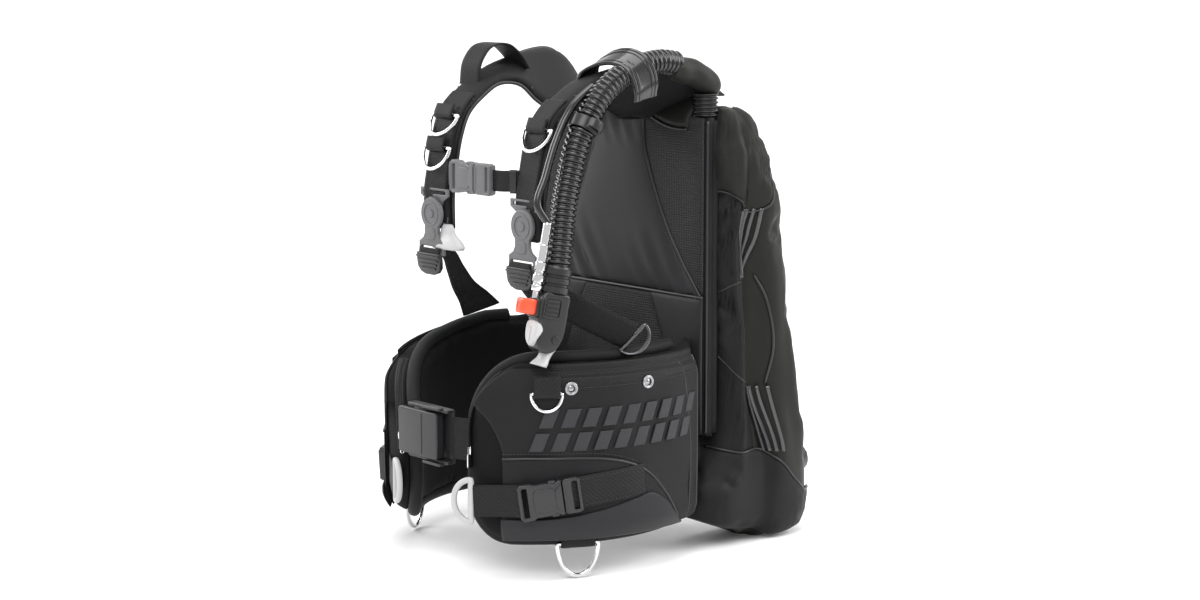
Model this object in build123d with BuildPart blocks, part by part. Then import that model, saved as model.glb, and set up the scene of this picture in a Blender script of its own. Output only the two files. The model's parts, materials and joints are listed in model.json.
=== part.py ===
from build123d import *
import math
import os

os.makedirs("parts", exist_ok=True)

# Back-inflation buoyancy vest. Millimetres; Z up; the wearer faces -Y and has +X on the left hand.
# The origin lies on the axis of the tank, halfway up the tank band.

# ---------------------------------------------------------------- driving dimensions
TANK_RADIUS = 92.0
BAND_HEIGHT = 50.0
BAND_THICKNESS = 2.5
SLIDE_GAP = 0.5

PAD_FRONT = -150.0
PAD_THICKNESS = 24.0
PAD_HALF_WIDTH = 150.0
PAD_TOP = 246.0
PAD_SPLIT = 20.0
PAD_BOTTOM = -156.0

PLATE_FRONT = -124.5
PLATE_THICKNESS = 6.0
PLATE_HALF_WIDTH = 68.0
RAIL_X = 45.0
RAIL_WIDTH = 26.0

WING_INNER = 99.0
WING_OUTER = 188.0
WING_WALL = 2.0

STRAP_X = 86.0
STRAP_WIDTH = 52.0
STRAP_THICKNESS = 12.0
WEB_THICKNESS = 2.2
WEB_WIDTH = 50.0

LOBE_X = -25.0
LOBE_Y = -269.0
PANEL_IN = 178.0
PANEL_OUT = 192.0
BELT_IN = 193.5
BELT_OUT = 196.5
POCKET_IN = 198.0
POCKET_OUT = 217.0
LOBE_TOP = -38.0
LOBE_BOTTOM = -240.0
POCKET_SPLIT = -166.0
LOBE_REAR = 29.0
LOBE_TIP = -63.0
POCKET_REAR = 14.0
BELT_Z = -128.0

WIRE = 2.5
RUNNING = 0.08
SIDES = ((1, "left"), (-1, "right"))


# ---------------------------------------------------------------- helpers
def save(builder, name):
    """Labels a finished sub-part and writes it out."""
    builder.part.label = name
    export_step(builder.part, f"parts/{name}.step")


def add_block(low, high, mode=Mode.ADD):
    """Adds a box between two opposite corners."""
    size = tuple(high[i] - low[i] for i in range(3))
    middle = tuple((high[i] + low[i]) / 2 for i in range(3))
    with Locations(middle):
        Box(*size, mode=mode)


def add_local_block(frame, low, high, mode=Mode.ADD):
    """Adds a box between two opposite corners given in a local frame."""
    floor = Plane(
        origin=frame.from_local_coords(((low[0] + high[0]) / 2, (low[1] + high[1]) / 2, low[2])),
        x_dir=frame.x_dir,
        z_dir=frame.z_dir,
    )
    with BuildSketch(floor) as outline:
        Rectangle(high[0] - low[0], high[1] - low[1])
    extrude(outline.sketch, amount=high[2] - low[2], mode=mode)


def add_rod(frame, start, radius, length, mode=Mode.ADD):
    """Adds a cylinder along the frame's Z from a local start point."""
    foot = Plane(origin=frame.from_local_coords(start), x_dir=frame.x_dir, z_dir=frame.z_dir)
    with BuildSketch(foot) as outline:
        Circle(radius)
    extrude(outline.sketch, amount=length, mode=mode)


def add_arc_band(side, inner, outer, front, rear, low, high, mode=Mode.ADD):
    """Adds a piece of the round wall of a waist lobe; angles are measured from straight out sideways."""
    centre = (side * LOBE_X, LOBE_Y)
    first = front if side > 0 else 180 - front
    turn = side * (rear - front)
    with BuildSketch(Plane.XY.offset(low)) as outline:
        with BuildLine():
            near = CenterArc(centre, inner, first, turn)
            far = CenterArc(centre, outer, first, turn)
            Line(near @ 0, far @ 0)
            Line(near @ 1, far @ 1)
        make_face()
    extrude(outline.sketch, amount=high - low, mode=mode)


def lobe_frame(side, angle, radius, height):
    """Frame on the round wall: X forward along the wall, Y up for the left side, Z outward."""
    turn = math.radians(angle)
    outward = Vector(side * math.cos(turn), math.sin(turn), 0)
    forward = Vector(side * math.sin(turn), -math.cos(turn), 0)
    place = Vector(side * LOBE_X, LOBE_Y, height) + outward * radius
    return Plane(origin=place, x_dir=forward, z_dir=outward)


def lifted(path, gap):
    """Moves a side-view path outward, square to itself."""
    moved = []
    for i, (y, z) in enumerate(path):
        y_a, z_a = path[max(i - 1, 0)]
        y_b, z_b = path[min(i + 1, len(path) - 1)]
        length = math.hypot(y_b - y_a, z_b - z_a)
        moved.append((y + gap * (z_b - z_a) / length, z - gap * (y_b - y_a) / length))
    return moved


def add_ribbon(path, x_low, x_high, thickness):
    """Adds a flat band that follows a side-view path."""
    with BuildSketch(Plane.YZ.offset(x_low)) as outline:
        with BuildLine():
            Spline(*path)
        trace(line_width=thickness)
    extrude(outline.sketch, amount=x_high - x_low)


def add_ring(frame, radius, wire):
    """Adds a D-shaped ring: bar on the frame's X axis, bow towards -Y."""
    right = Plane(origin=frame.from_local_coords((radius, 0, 0)), x_dir=frame.x_dir, z_dir=frame.y_dir)
    with BuildSketch(right) as outline:
        Circle(wire)
    revolve(outline.sketch, axis=Axis(frame.origin, frame.z_dir), revolution_arc=-180)
    bar = Plane(origin=frame.from_local_coords((-radius, 0, 0)), x_dir=frame.y_dir, z_dir=frame.x_dir)
    with BuildSketch(bar) as outline:
        Circle(wire)
    extrude(outline.sketch, amount=2 * radius)
    with Locations(frame.from_local_coords((radius, 0, 0)), frame.from_local_coords((-radius, 0, 0))):
        Sphere(wire)


def add_ring_tab(frame, width, wire, tongue):
    """Adds a webbing loop round a ring's bar, with a flat tongue towards +Y."""
    hole = wire + RUNNING
    end = Plane(origin=frame.from_local_coords((-width / 2, 0, 0)), x_dir=frame.y_dir, z_dir=frame.x_dir)
    with BuildSketch(end) as outline:
        Circle(hole + WEB_THICKNESS)
        with Locations((tongue / 2, 0)):
            Rectangle(tongue, 3)
        Circle(hole, mode=Mode.SUBTRACT)
    extrude(outline.sketch, amount=width)


def add_hose(path, outer, inner):
    """Adds a hollow hose along a spline."""
    with BuildLine() as route:
        Spline(*path)
    start = Plane(origin=route.line @ 0, z_dir=route.line % 0)
    with BuildSketch(start) as outline:
        Circle(outer)
        Circle(inner, mode=Mode.SUBTRACT)
    sweep(outline.sketch, path=route.line)


# Side-release buckle: X runs from the socket towards the plug, Y across the strap, Z outward.
BUCKLE_THICKNESS = 10.0
PRONG_LENGTH = 18.0


def add_buckle_socket(frame, width, length):
    """Adds the socket half: a sleeve open towards +X and a strap slot at its closed end."""
    half = width / 2
    deep = BUCKLE_THICKNESS / 2
    add_local_block(frame, (-length, -half, -deep), (0, half, deep))
    add_local_block(frame, (-24, -half + 3.5, -deep + 1.8), (1, half - 3.5, deep - 1.8), mode=Mode.SUBTRACT)
    for hand in (-1, 1):
        window = (-18, hand * half - 4, -deep + 1.8), (-8, hand * half + 4, deep - 1.8)
        add_local_block(frame, *window, mode=Mode.SUBTRACT)
    slot = (-length + 4, -half + 4, -deep - 1), (-length + 10, half - 4, deep + 1)
    add_local_block(frame, *slot, mode=Mode.SUBTRACT)


def add_buckle_plug(frame, width, length):
    """Adds the plug half: two prongs with a middle guide, and a ladder with a strap slot."""
    half = width / 2
    deep = BUCKLE_THICKNESS / 2
    add_local_block(frame, (1, -half, -deep), (length, half, deep))
    slot = (length - 10, -half + 4, -deep - 1), (length - 4, half - 4, deep + 1)
    add_local_block(frame, *slot, mode=Mode.SUBTRACT)
    for middle in (-half + 7.5, 0, half - 7.5):
        add_local_block(frame, (-PRONG_LENGTH, middle - 2, -1.8), (2, middle + 2, 1.8))


# ---------------------------------------------------------------- tank backplate and band
RAIL_BACK = -76.0
SCREW_PLACES = [(x, z) for x in (-56, 56) for z in (-130, 150)]

with BuildPart() as backplate:
    with BuildSketch(Plane.XZ.offset(-PLATE_FRONT - PLATE_THICKNESS)):
        with Locations((0, 18)):
            RectangleRounded(2 * PLATE_HALF_WIDTH, 340, 24)
        with Locations((0, 90), (0, -70)):
            SlotOverall(70, 34, rotation=90, mode=Mode.SUBTRACT)
        with Locations(SCREW_PLACES):
            Circle(2.6, mode=Mode.SUBTRACT)
    extrude(amount=PLATE_THICKNESS)
    for hand in (-1, 1):
        low_x = hand * RAIL_X - RAIL_WIDTH / 2
        add_block((low_x, PLATE_FRONT + PLATE_THICKNESS, -120), (low_x + RAIL_WIDTH, RAIL_BACK, 140))
    with Locations((0, 0, 0)):
        Cylinder(TANK_RADIUS + BAND_THICKNESS + SLIDE_GAP, 500, mode=Mode.SUBTRACT)
save(backplate, "backplate")

with BuildPart() as backplate_screws:
    for x, z in SCREW_PLACES:
        shank = Plane(origin=(x, PLATE_FRONT + PLATE_THICKNESS, z), x_dir=(1, 0, 0), z_dir=(0, 1, 0))
        add_rod(shank, (0, 0, -PLATE_THICKNESS), 2.5, PLATE_THICKNESS)
        add_rod(shank, (0, 0, 0.1), 5.5, 3)
        add_rod(shank, (0, 0, 1.5), 1.8, 2, mode=Mode.SUBTRACT)
        add_rod(shank, (0, 0, -0.2), 2.5, 0.6)
save(backplate_screws, "backplate_screws")

with BuildPart() as tank_band:
    with BuildSketch(Plane.XY.offset(-BAND_HEIGHT / 2)):
        Circle(TANK_RADIUS + BAND_THICKNESS)
        Circle(TANK_RADIUS, mode=Mode.SUBTRACT)
    extrude(amount=BAND_HEIGHT)
save(tank_band, "tank_band")

# The cam buckle sits behind the tank; its lever turns about an upright pin.
PIN_X = 22.0
with BuildPart() as tank_buckle_frame:
    add_block((-34, 95, -29), (34, 97, 29))
    for hand in (-1, 1):
        flange_low = 26 if hand > 0 else -29
        add_block((-34, 95, flange_low), (34, 108, flange_low + 3))
    frame_pin = Plane(origin=(PIN_X, 103, -29), x_dir=(1, 0, 0), z_dir=(0, 0, 1))
    add_rod(frame_pin, (0, 0, -1), 2.5 + RUNNING, 60, mode=Mode.SUBTRACT)
save(tank_buckle_frame, "tank_buckle_frame")

with BuildPart() as tank_buckle_lever:
    lever_pin = Plane(origin=(PIN_X, 103, -29), x_dir=(1, 0, 0), z_dir=(0, 0, 1))
    add_rod(lever_pin, (0, 0, 0), 2.5, 58)
    add_rod(lever_pin, (0, 0, 3.5), 4.5, 51)
    add_block((-46, 104.5, -25), (PIN_X, 107.5, 25))
    add_block((-46, 104.5, -12), (-38, 110, 12))
save(tank_buckle_lever, "tank_buckle_lever")

with BuildPart() as carry_handle:
    add_ribbon([(-119, 243), (-117, 262), (-109, 271), (-101, 262), (-99, 243)], -24, 24, 3)
save(carry_handle, "carry_handle")

# ---------------------------------------------------------------- back pads
with BuildPart() as back_pad:
    with BuildSketch(Plane.XZ.offset(-PAD_FRONT - PAD_THICKNESS)):
        with BuildLine():
            shoulder = (PAD_HALF_WIDTH, PAD_TOP - 10)
            other_shoulder = (-PAD_HALF_WIDTH, PAD_TOP - 10)
            Polyline(shoulder, (PAD_HALF_WIDTH, PAD_SPLIT), (PAD_HALF_WIDTH + 4, PAD_BOTTOM))
            Line((PAD_HALF_WIDTH + 4, PAD_BOTTOM), (-PAD_HALF_WIDTH - 4, PAD_BOTTOM))
            Polyline((-PAD_HALF_WIDTH - 4, PAD_BOTTOM), (-PAD_HALF_WIDTH, PAD_SPLIT), other_shoulder)
            ThreePointArc(other_shoulder, (0, PAD_TOP + 2), shoulder)
        make_face()
    extrude(amount=PAD_THICKNESS)
    add_block((-140, PAD_FRONT - 4, PAD_BOTTOM + 10), (140, PAD_FRONT, PAD_SPLIT - 10))
save(back_pad, "back_pad")

# ---------------------------------------------------------------- air cell
WING_FRONT = -124.0


def add_wing(shrink, mode=Mode.ADD):
    """Adds the horseshoe air cell, drawn smaller all round by shrink."""
    for hand in (-1, 1):
        near, far = sorted((hand * (WING_INNER + shrink), hand * (WING_OUTER - shrink)))
        with BuildSketch(Plane.YZ.offset(near)) as outline:
            with BuildLine():
                Polyline((-62, 240), (WING_FRONT, 250), (WING_FRONT, -159), (-160, -178), (-172, -246))
                Polyline((-172, -246), (-100, -280), (-48, -290), (-10, -285))
                ThreePointArc((-10, -285), (6, -272), (8, -250))
                Polyline((8, -250), (-18, -31), (-38, 84), (-50, 150), (-62, 240))
            make_face()
            if shrink:
                offset(amount=-shrink, kind=Kind.INTERSECTION, mode=Mode.REPLACE)
        extrude(outline.sketch, amount=far - near, mode=mode)
    add_block(
        (-WING_INNER - 4, -123 + shrink, 197 + shrink),
        (WING_INNER + 4, -100 - shrink, 240 - shrink),
        mode=mode,
    )


with BuildPart() as air_cell_shell:
    add_wing(0)
    add_wing(WING_WALL, mode=Mode.SUBTRACT)
    # Elastic cords sewn flat on the outer sides gather the cell when it's empty.
    for hand in (-1, 1):
        for low, tall in ((86, 76), (-142, 66)):
            for step in range(3):
                wall = sorted((hand * (WING_OUTER - 0.5), hand * (WING_OUTER + 3)))
                y_low = -112 + 9 * step
                add_block((wall[0], y_low, low), (wall[1], y_low + 6, low + tall))
save(air_cell_shell, "air_cell_shell")

with BuildPart() as air_bladder:
    add_wing(WING_WALL + 1.5)
    add_wing(WING_WALL + 2.5, mode=Mode.SUBTRACT)
save(air_bladder, "air_bladder")

# ---------------------------------------------------------------- shoulder straps
STRAP_PATH = [(-160, 262), (-196, 290), (-250, 282), (-302, 248), (-340, 200), (-360, 152), (-370, 108)]
STRAP_LIFT = STRAP_THICKNESS / 2 + SLIDE_GAP + WEB_THICKNESS / 2

with BuildPart() as shoulder_harness:
    with BuildSketch(Plane.XZ.offset(136)):
        with BuildLine():
            Polyline((0, 250), (136, 250), (136, 256), (120, 272), (60, 272), (34, 258), (0, 258), (0, 250))
        make_face()
        mirror(about=Plane.YZ)
    extrude(amount=20)
    for side, word in SIDES:
        middle = side * STRAP_X
        add_ribbon(STRAP_PATH, middle - STRAP_WIDTH / 2, middle + STRAP_WIDTH / 2, STRAP_THICKNESS)
save(shoulder_harness, "shoulder_harness")

# Chest rings hang from webbing loops on the front of the shoulder straps.
CHEST_RING = 22.0


def chest_frame(x, y, z, slope):
    """Frame of a chest ring whose bow hangs down the strap at the given slope, in degrees from level."""
    down = Vector(0, -math.cos(math.radians(slope)), -math.sin(math.radians(slope)))
    return Plane(origin=(x, y, z), x_dir=(1, 0, 0), z_dir=Vector(1, 0, 0).cross(down * -1))


CHEST_RINGS = {
    "left_chest_ring": chest_frame(STRAP_X, -333, 232, 52),
    "right_chest_ring_upper": chest_frame(-STRAP_X, -333, 232, 52),
    "right_chest_ring_lower": chest_frame(-STRAP_X, -360, 189, 67),
}

for name, frame in CHEST_RINGS.items():
    with BuildPart() as chest_ring:
        add_ring(frame, CHEST_RING, WIRE)
    save(chest_ring, name)

# A wide loop on the left shoulder holds the hose, a narrower one stands on the right, and a
# sleeve covers the joint between the shoulder elbow and the hose.
ELBOW_X = 135.0
ELBOW_Y = -112.0
CELL_TOP = 252.0
ELBOW_ARM = Plane(origin=(ELBOW_X, ELBOW_Y, 290), x_dir=(1, 0, 0), z_dir=(-0.1, -0.99, 0.1))
with BuildPart() as shoulder_loops:
    loop_mid = Plane(origin=(131, -213, 303.5), x_dir=(1, 0, 0), z_dir=(0, -0.97, -0.24))
    with BuildSketch(loop_mid):
        RectangleRounded(38, 44, 16)
        RectangleRounded(34, 40, 15, mode=Mode.SUBTRACT)
    extrude(amount=36)
    with BuildSketch(Plane.YZ.offset(-STRAP_X - 18)):
        with BuildLine():
            Spline((-222, 301), (-256, 322), (-292, 308), (-309, 256))
        trace(line_width=2.4)
    extrude(amount=36)
    add_rod(ELBOW_ARM, (0, 0, 18), 15.5, 18)
    add_rod(ELBOW_ARM, (0, 0, 17), 12.6, 30, mode=Mode.SUBTRACT)
save(shoulder_loops, "shoulder_loops")

# ---------------------------------------------------------------- sternum strap
STERNUM_Z = 172.0
STERNUM_Y = -385.0
STERNUM_WIDTH = 40.0
sternum_frame = Plane(origin=(-12, STERNUM_Y, STERNUM_Z), x_dir=(1, 0, 0), z_dir=(0, -1, 0))

with BuildPart() as sternum_buckle_socket:
    add_buckle_socket(sternum_frame, STERNUM_WIDTH, 46)
save(sternum_buckle_socket, "sternum_buckle_socket")

with BuildPart() as sternum_buckle_plug:
    add_buckle_plug(sternum_frame, STERNUM_WIDTH, 30)
save(sternum_buckle_plug, "sternum_buckle_plug")

# All webbing sewn to the front of the shoulder straps, with its ring loops and sternum strap ends.
with BuildPart() as shoulder_webbing:
    for side, word in SIDES:
        low_x = side * STRAP_X - WEB_WIDTH / 2
        add_ribbon(lifted(STRAP_PATH[3:], -STRAP_LIFT), low_x, low_x + WEB_WIDTH, WEB_THICKNESS)
    for frame in CHEST_RINGS.values():
        add_ring_tab(frame, 34, WIRE, 14)
    for hand, start in ((1, 12.5), (-1, 48.5)):
        ends = sorted((hand * start, hand * 59.5)), sorted((hand * 54, hand * 59.5))
        add_block((ends[0][0], -378.8, STERNUM_Z - 12.5), (ends[0][1], -376.8, STERNUM_Z + 12.5))
        add_block((ends[1][0], -377, STERNUM_Z - 12.5), (ends[1][1], -350, STERNUM_Z + 12.5))
save(shoulder_webbing, "shoulder_webbing")

# ---------------------------------------------------------------- shoulder buckles
BUCKLE_Y = -381.0
SWIVEL_Z = 122.0


def buckle_face(side):
    """Frame of a shoulder buckle: Y up the strap, Z away from the chest."""
    return Plane(origin=(side * STRAP_X, BUCKLE_Y, SWIVEL_Z), x_dir=(1, 0, 0), z_dir=(0, -1, 0))


# Hangers: strap slot at the top, and a round stud that carries the swivel.
with BuildPart() as buckle_hangers:
    for side, word in SIDES:
        face = buckle_face(side)
        add_local_block(face, (-27, 16, -3), (27, 30, 0))
        add_local_block(face, (-22, 22, -4), (22, 26, 1), mode=Mode.SUBTRACT)
        add_local_block(face, (-14, -12, -3), (14, 17, 0))
        add_rod(face, (0, 0, -3), 6, 9)
save(buckle_hangers, "buckle_hangers")

for side, word in SIDES:
    face = buckle_face(side)
    with BuildPart() as buckle_swivel:
        add_rod(face, (0, 0, 0.3), 20, 5)
        add_local_block(face, (-15, -38, 0.3), (15, -8, 5.3))
        add_local_block(face, (-24, -54, 0.3), (24, -34, 5.3))
        add_local_block(face, (-20, -50, -1), (20, -43, 7), mode=Mode.SUBTRACT)
        add_rod(face, (0, 0, -1), 6 + RUNNING, 8, mode=Mode.SUBTRACT)
    save(buckle_swivel, f"{word}_buckle_swivel")

# Lower webbing runs from just under each buckle back to the top of the waist lobe.
with BuildPart() as lower_webbing:
    for side, word in SIDES:
        drop = Plane(origin=(side * 90, -382, 46), x_dir=(1, 0, 0), z_dir=(side * 0.56, 0.66, -0.49))
        with BuildSketch(drop):
            Rectangle(34, WEB_THICKNESS)
        extrude(amount=136)
save(lower_webbing, "lower_webbing")

# ---------------------------------------------------------------- shoulder elbow, hose and dump valve
with BuildPart() as shoulder_elbow:
    elbow_foot = Plane(origin=(ELBOW_X, ELBOW_Y, CELL_TOP), x_dir=(1, 0, 0), z_dir=(0, 0, 1))
    add_rod(elbow_foot, (0, 0, 0), 20, 5)
    add_rod(elbow_foot, (0, 0, 5), 15, 30)
    add_rod(ELBOW_ARM, (0, 0, 0), 12, 34)
    with Locations((ELBOW_X, ELBOW_Y, 288)):
        Sphere(16)
save(shoulder_elbow, "shoulder_elbow")

HOSE_OUT = 14.0
HOSE_IN = 11.0
with BuildPart() as hose_upper:
    add_hose([(131, -154, 298), (130, -170, 303), (130, -194, 306), (131, -222, 301)], HOSE_OUT, HOSE_IN)
save(hose_upper, "hose_upper")

HOSE_ROUTE = [
    (131, -240, 295),
    (132, -290, 264),
    (134, -330, 220),
    (136, -356, 175),
    (139, -375, 117),
    (140, -383, 80),
]
with BuildPart() as hose_lower:
    add_hose(HOSE_ROUTE, HOSE_OUT, HOSE_IN)
save(hose_lower, "hose_lower")

with BuildPart() as hose_clip:
    with BuildLine() as clip_route:
        Spline(*HOSE_ROUTE)
    with BuildSketch(Plane(origin=clip_route.line @ 0.32, z_dir=clip_route.line % 0.32)):
        Circle(HOSE_OUT + 3.5)
        Circle(HOSE_OUT + 0.6, mode=Mode.SUBTRACT)
    extrude(amount=9, both=True)
save(hose_clip, "hose_clip")

# Right shoulder dump: a flat valve on the wing and a pull knob on its cord.
with BuildPart() as right_dump_valve:
    dump_foot = Plane(origin=(-ELBOW_X, ELBOW_Y, CELL_TOP), x_dir=(1, 0, 0), z_dir=(0, 0, 1))
    add_rod(dump_foot, (0, 0, 0), 22, 6)
    add_rod(dump_foot, (0, 0, 6), 18, 8)
save(right_dump_valve, "right_dump_valve")

with BuildPart() as dump_knob:
    with BuildSketch(Plane.XY.offset(72)):
        with Locations((-58, -354)):
            RectangleRounded(34, 14, 4)
    with BuildSketch(Plane.XY.offset(100)):
        with Locations((-58, -354)):
            RectangleRounded(14, 10, 4)
    loft()
save(dump_knob, "dump_knob")

# ---------------------------------------------------------------- power inflator
INFLATOR = Plane(origin=(140, -384, 79), x_dir=(-0.25, -0.95, 0.21), z_dir=(0, 0.22, 0.975))
BUTTON_GAP = 0.4
COUPLING_X = 22.5

with BuildPart() as inflator_collar:
    add_rod(INFLATOR, (0, 0, -30), 15.5, 27)
    add_rod(INFLATOR, (0, 0, -31), 10, 32, mode=Mode.SUBTRACT)
save(inflator_collar, "inflator_collar")

with BuildPart() as inflator_body:
    add_rod(INFLATOR, (0, 0, -84), 15, 53.5)
    add_local_block(INFLATOR, (0, -13, -66), (29, 13, -36))
    add_local_block(INFLATOR, (-4, -14, -96), (12, 14, -70))
    well = (17, -9 - BUTTON_GAP, -62 - BUTTON_GAP), (30, 9 + BUTTON_GAP, -44 + BUTTON_GAP)
    add_local_block(INFLATOR, *well, mode=Mode.SUBTRACT)
    add_rod(INFLATOR, (COUPLING_X, 0, -43), 4, 8, mode=Mode.SUBTRACT)
save(inflator_body, "inflator_body")

with BuildPart() as inflate_button:
    add_local_block(INFLATOR, (21, -9, -62), (35, 9, -44))
    fillet(inflate_button.edges().group_by(Axis((0, 0, 0), (-0.25, -0.95, 0.21)))[-1], 2)
save(inflate_button, "inflate_button")

with BuildPart() as deflate_button:
    add_local_block(INFLATOR, (18.4, -12, -98), (25.5, 12, -69))
    fillet(deflate_button.edges().group_by(Axis((0, 0, 0), (-0.25, -0.95, 0.21)))[-1], 3)
save(deflate_button, "deflate_button")

with BuildPart() as mouthpiece:
    mouth_start = INFLATOR.from_local_coords((2, 0, -96.5))
    mouth_top = Plane(origin=mouth_start, x_dir=INFLATOR.x_dir, z_dir=INFLATOR.z_dir * -1)
    with BuildSketch(mouth_top):
        Ellipse(9, 11)
    with BuildSketch(mouth_top.offset(18)):
        with Locations((8, 0)):
            Ellipse(6, 14)
    loft()
save(mouthpiece, "mouthpiece")

with BuildPart() as lp_coupling:
    add_rod(INFLATOR, (COUPLING_X, 0, -42.5), 3.4, 10)
    add_rod(INFLATOR, (COUPLING_X, 0, -34), 6.5, 34)
save(lp_coupling, "lp_coupling")

with BuildPart() as lp_hose:
    lp_start = INFLATOR.from_local_coords((COUPLING_X, 0, 2.5))
    add_hose([lp_start, (131, -402, 130), (127, -386, 175), (122, -360, 224), (118, -326, 262)], 4.76, 2.5)
save(lp_hose, "lp_hose")

# ---------------------------------------------------------------- waist lobes
EYELET_ANGLES = (-30, -4)
EYELET_Z = -60.0
HIP_ANGLE = -37.5
HIP_Z = -70.0
BOTTOM_ANGLE = -27.0


def level_frame(frame):
    """Same place and X as a lobe frame, with Y straight up."""
    return Plane(origin=frame.origin, x_dir=frame.x_dir, z_dir=frame.x_dir.cross(Vector(0, 0, 1)))


def hip_frame(side):
    """Place of the ring on the outside of the cargo pocket."""
    return level_frame(lobe_frame(side, HIP_ANGLE, POCKET_OUT + 5.2, HIP_Z))


def bottom_frame(side):
    """Place of the ring under the weight pocket."""
    return level_frame(lobe_frame(side, BOTTOM_ANGLE, 204, -249))


def grip_frame(side):
    """Place of the grab handle on the front end of the pouch strap; its bar stands upright."""
    front = lobe_frame(side, -65.5, POCKET_OUT + 4.3, -195)
    return Plane(origin=front.origin, x_dir=(0, 0, 1), z_dir=Vector(0, 0, 1).cross(front.x_dir * -1))


for side, word in SIDES:
    with BuildPart() as waist_panel:
        add_arc_band(side, PANEL_IN, PANEL_OUT, LOBE_TIP, LOBE_REAR, LOBE_BOTTOM, LOBE_TOP)
        ends = waist_panel.edges().filter_by(GeomType.LINE).filter_by(lambda e: abs(e.tangent_at(0).Z) < 0.1)
        front_ends = ends.sort_by(Axis.Y)[:2].sort_by(Axis.Z)
        fillet(front_ends[1], 60)
        ends = waist_panel.edges().filter_by(GeomType.LINE).filter_by(lambda e: abs(e.tangent_at(0).Z) < 0.1)
        fillet(ends.filter_by_position(Axis.Z, LOBE_BOTTOM - 1, LOBE_BOTTOM + 1).sort_by(Axis.Y)[0], 40)
    save(waist_panel, f"{word}_waist_panel")

    # Outer pocket: cargo compartment above, weight compartment open to the front below.
    with BuildPart() as pocket:
        add_arc_band(side, POCKET_IN, POCKET_OUT, -56, POCKET_REAR, LOBE_BOTTOM + 2, LOBE_TOP - 6)
        cargo_space = -55, POCKET_REAR - 1, POCKET_SPLIT + 2, LOBE_TOP - 8
        weight_space = -57, 10, LOBE_BOTTOM + 4, POCKET_SPLIT
        for space in (cargo_space, weight_space):
            add_arc_band(side, POCKET_IN + 2, POCKET_OUT - 2, *space, mode=Mode.SUBTRACT)
        for angle in EYELET_ANGLES:
            add_rod(lobe_frame(side, angle, POCKET_OUT, EYELET_Z), (0, 0, -4), 6.6, 8, mode=Mode.SUBTRACT)
        add_arc_band(side, POCKET_OUT - 0.2, POCKET_OUT + 2.5, -28, -8, -214, -176)
        add_ring_tab(bottom_frame(side), 34, WIRE, 11.5)
        if side > 0:
            add_ring_tab(hip_frame(side), 34, WIRE, 22)
            hip_patch = HIP_ANGLE - 4.4, HIP_ANGLE + 4.4, HIP_Z + 16, HIP_Z + 24
            add_arc_band(side, POCKET_OUT - 0.5, POCKET_OUT + 6.6, *hip_patch)
    save(pocket, f"{word}_pocket")

    with BuildPart() as eyelets:
        for angle in EYELET_ANGLES:
            rim = lobe_frame(side, angle, POCKET_OUT, EYELET_Z)
            add_rod(rim, (0, 0, 0.3), 9, 1.2)
            add_rod(rim, (0, 0, -3.5), 6.3, 5)
            add_rod(rim, (0, 0, -4), 5, 6, mode=Mode.SUBTRACT)
    save(eyelets, f"{word}_eyelets")

    # Weight pouch: fills the weight compartment; its strap leads to the release buckle.
    with BuildPart() as weight_pouch:
        add_arc_band(side, POCKET_IN + 3, POCKET_OUT - 3, -55, 8, LOBE_BOTTOM + 6, POCKET_SPLIT - 4)
        add_arc_band(side, POCKET_IN + 3, POCKET_OUT - 3, -58.5, -54, -222, -180)
        add_arc_band(side, POCKET_IN + 3, POCKET_OUT + 4, -58.5, -57, -222, -180)
        add_arc_band(side, POCKET_OUT + 3.3, POCKET_OUT + 5.3, -64, -47.5, -214, -176)
        add_ring_tab(grip_frame(side), 30, 3, 8)
    save(weight_pouch, f"{word}_weight_pouch")

    # The release buckle lies flat on the pocket: socket in front, plug behind.
    flat = lobe_frame(side, -33, POCKET_OUT + 9.5, -195)
    flat = Plane(origin=flat.origin, x_dir=flat.x_dir * -1, z_dir=flat.z_dir)
    with BuildPart() as pocket_socket:
        add_buckle_socket(flat, 44, 52)
    save(pocket_socket, f"{word}_pocket_socket")

    with BuildPart() as pocket_plug:
        add_buckle_plug(flat, 44, 20)
    save(pocket_plug, f"{word}_pocket_plug")

    with BuildPart() as grab_handle:
        add_ring(grip_frame(side), 24, 3)
    save(grab_handle, f"{word}_grab_handle")

    # Zip slider on the front edge of the cargo compartment.
    with BuildPart() as zip_slider:
        add_arc_band(side, 203, 213, -58.6, -56.3, -140, -128)
        add_arc_band(side, 206.5, 209.5, -59.4, -58.4, -158, -130)
    save(zip_slider, f"{word}_zip_slider")

    with BuildPart() as bottom_ring:
        add_ring(bottom_frame(side), 24, WIRE)
    save(bottom_ring, f"{word}_bottom_ring")

with BuildPart() as left_hip_ring:
    add_ring(hip_frame(1), 22, WIRE)
save(left_hip_ring, "left_hip_ring")

# ---------------------------------------------------------------- waist belt and buckle
for side, word in SIDES:
    end = -71.5 if side > 0 else -69.5
    with BuildPart() as waist_webbing:
        add_arc_band(side, BELT_IN, BELT_OUT, end, -10, BELT_Z - WEB_WIDTH / 2, BELT_Z + WEB_WIDTH / 2)
    save(waist_webbing, f"{word}_waist_webbing")

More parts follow.
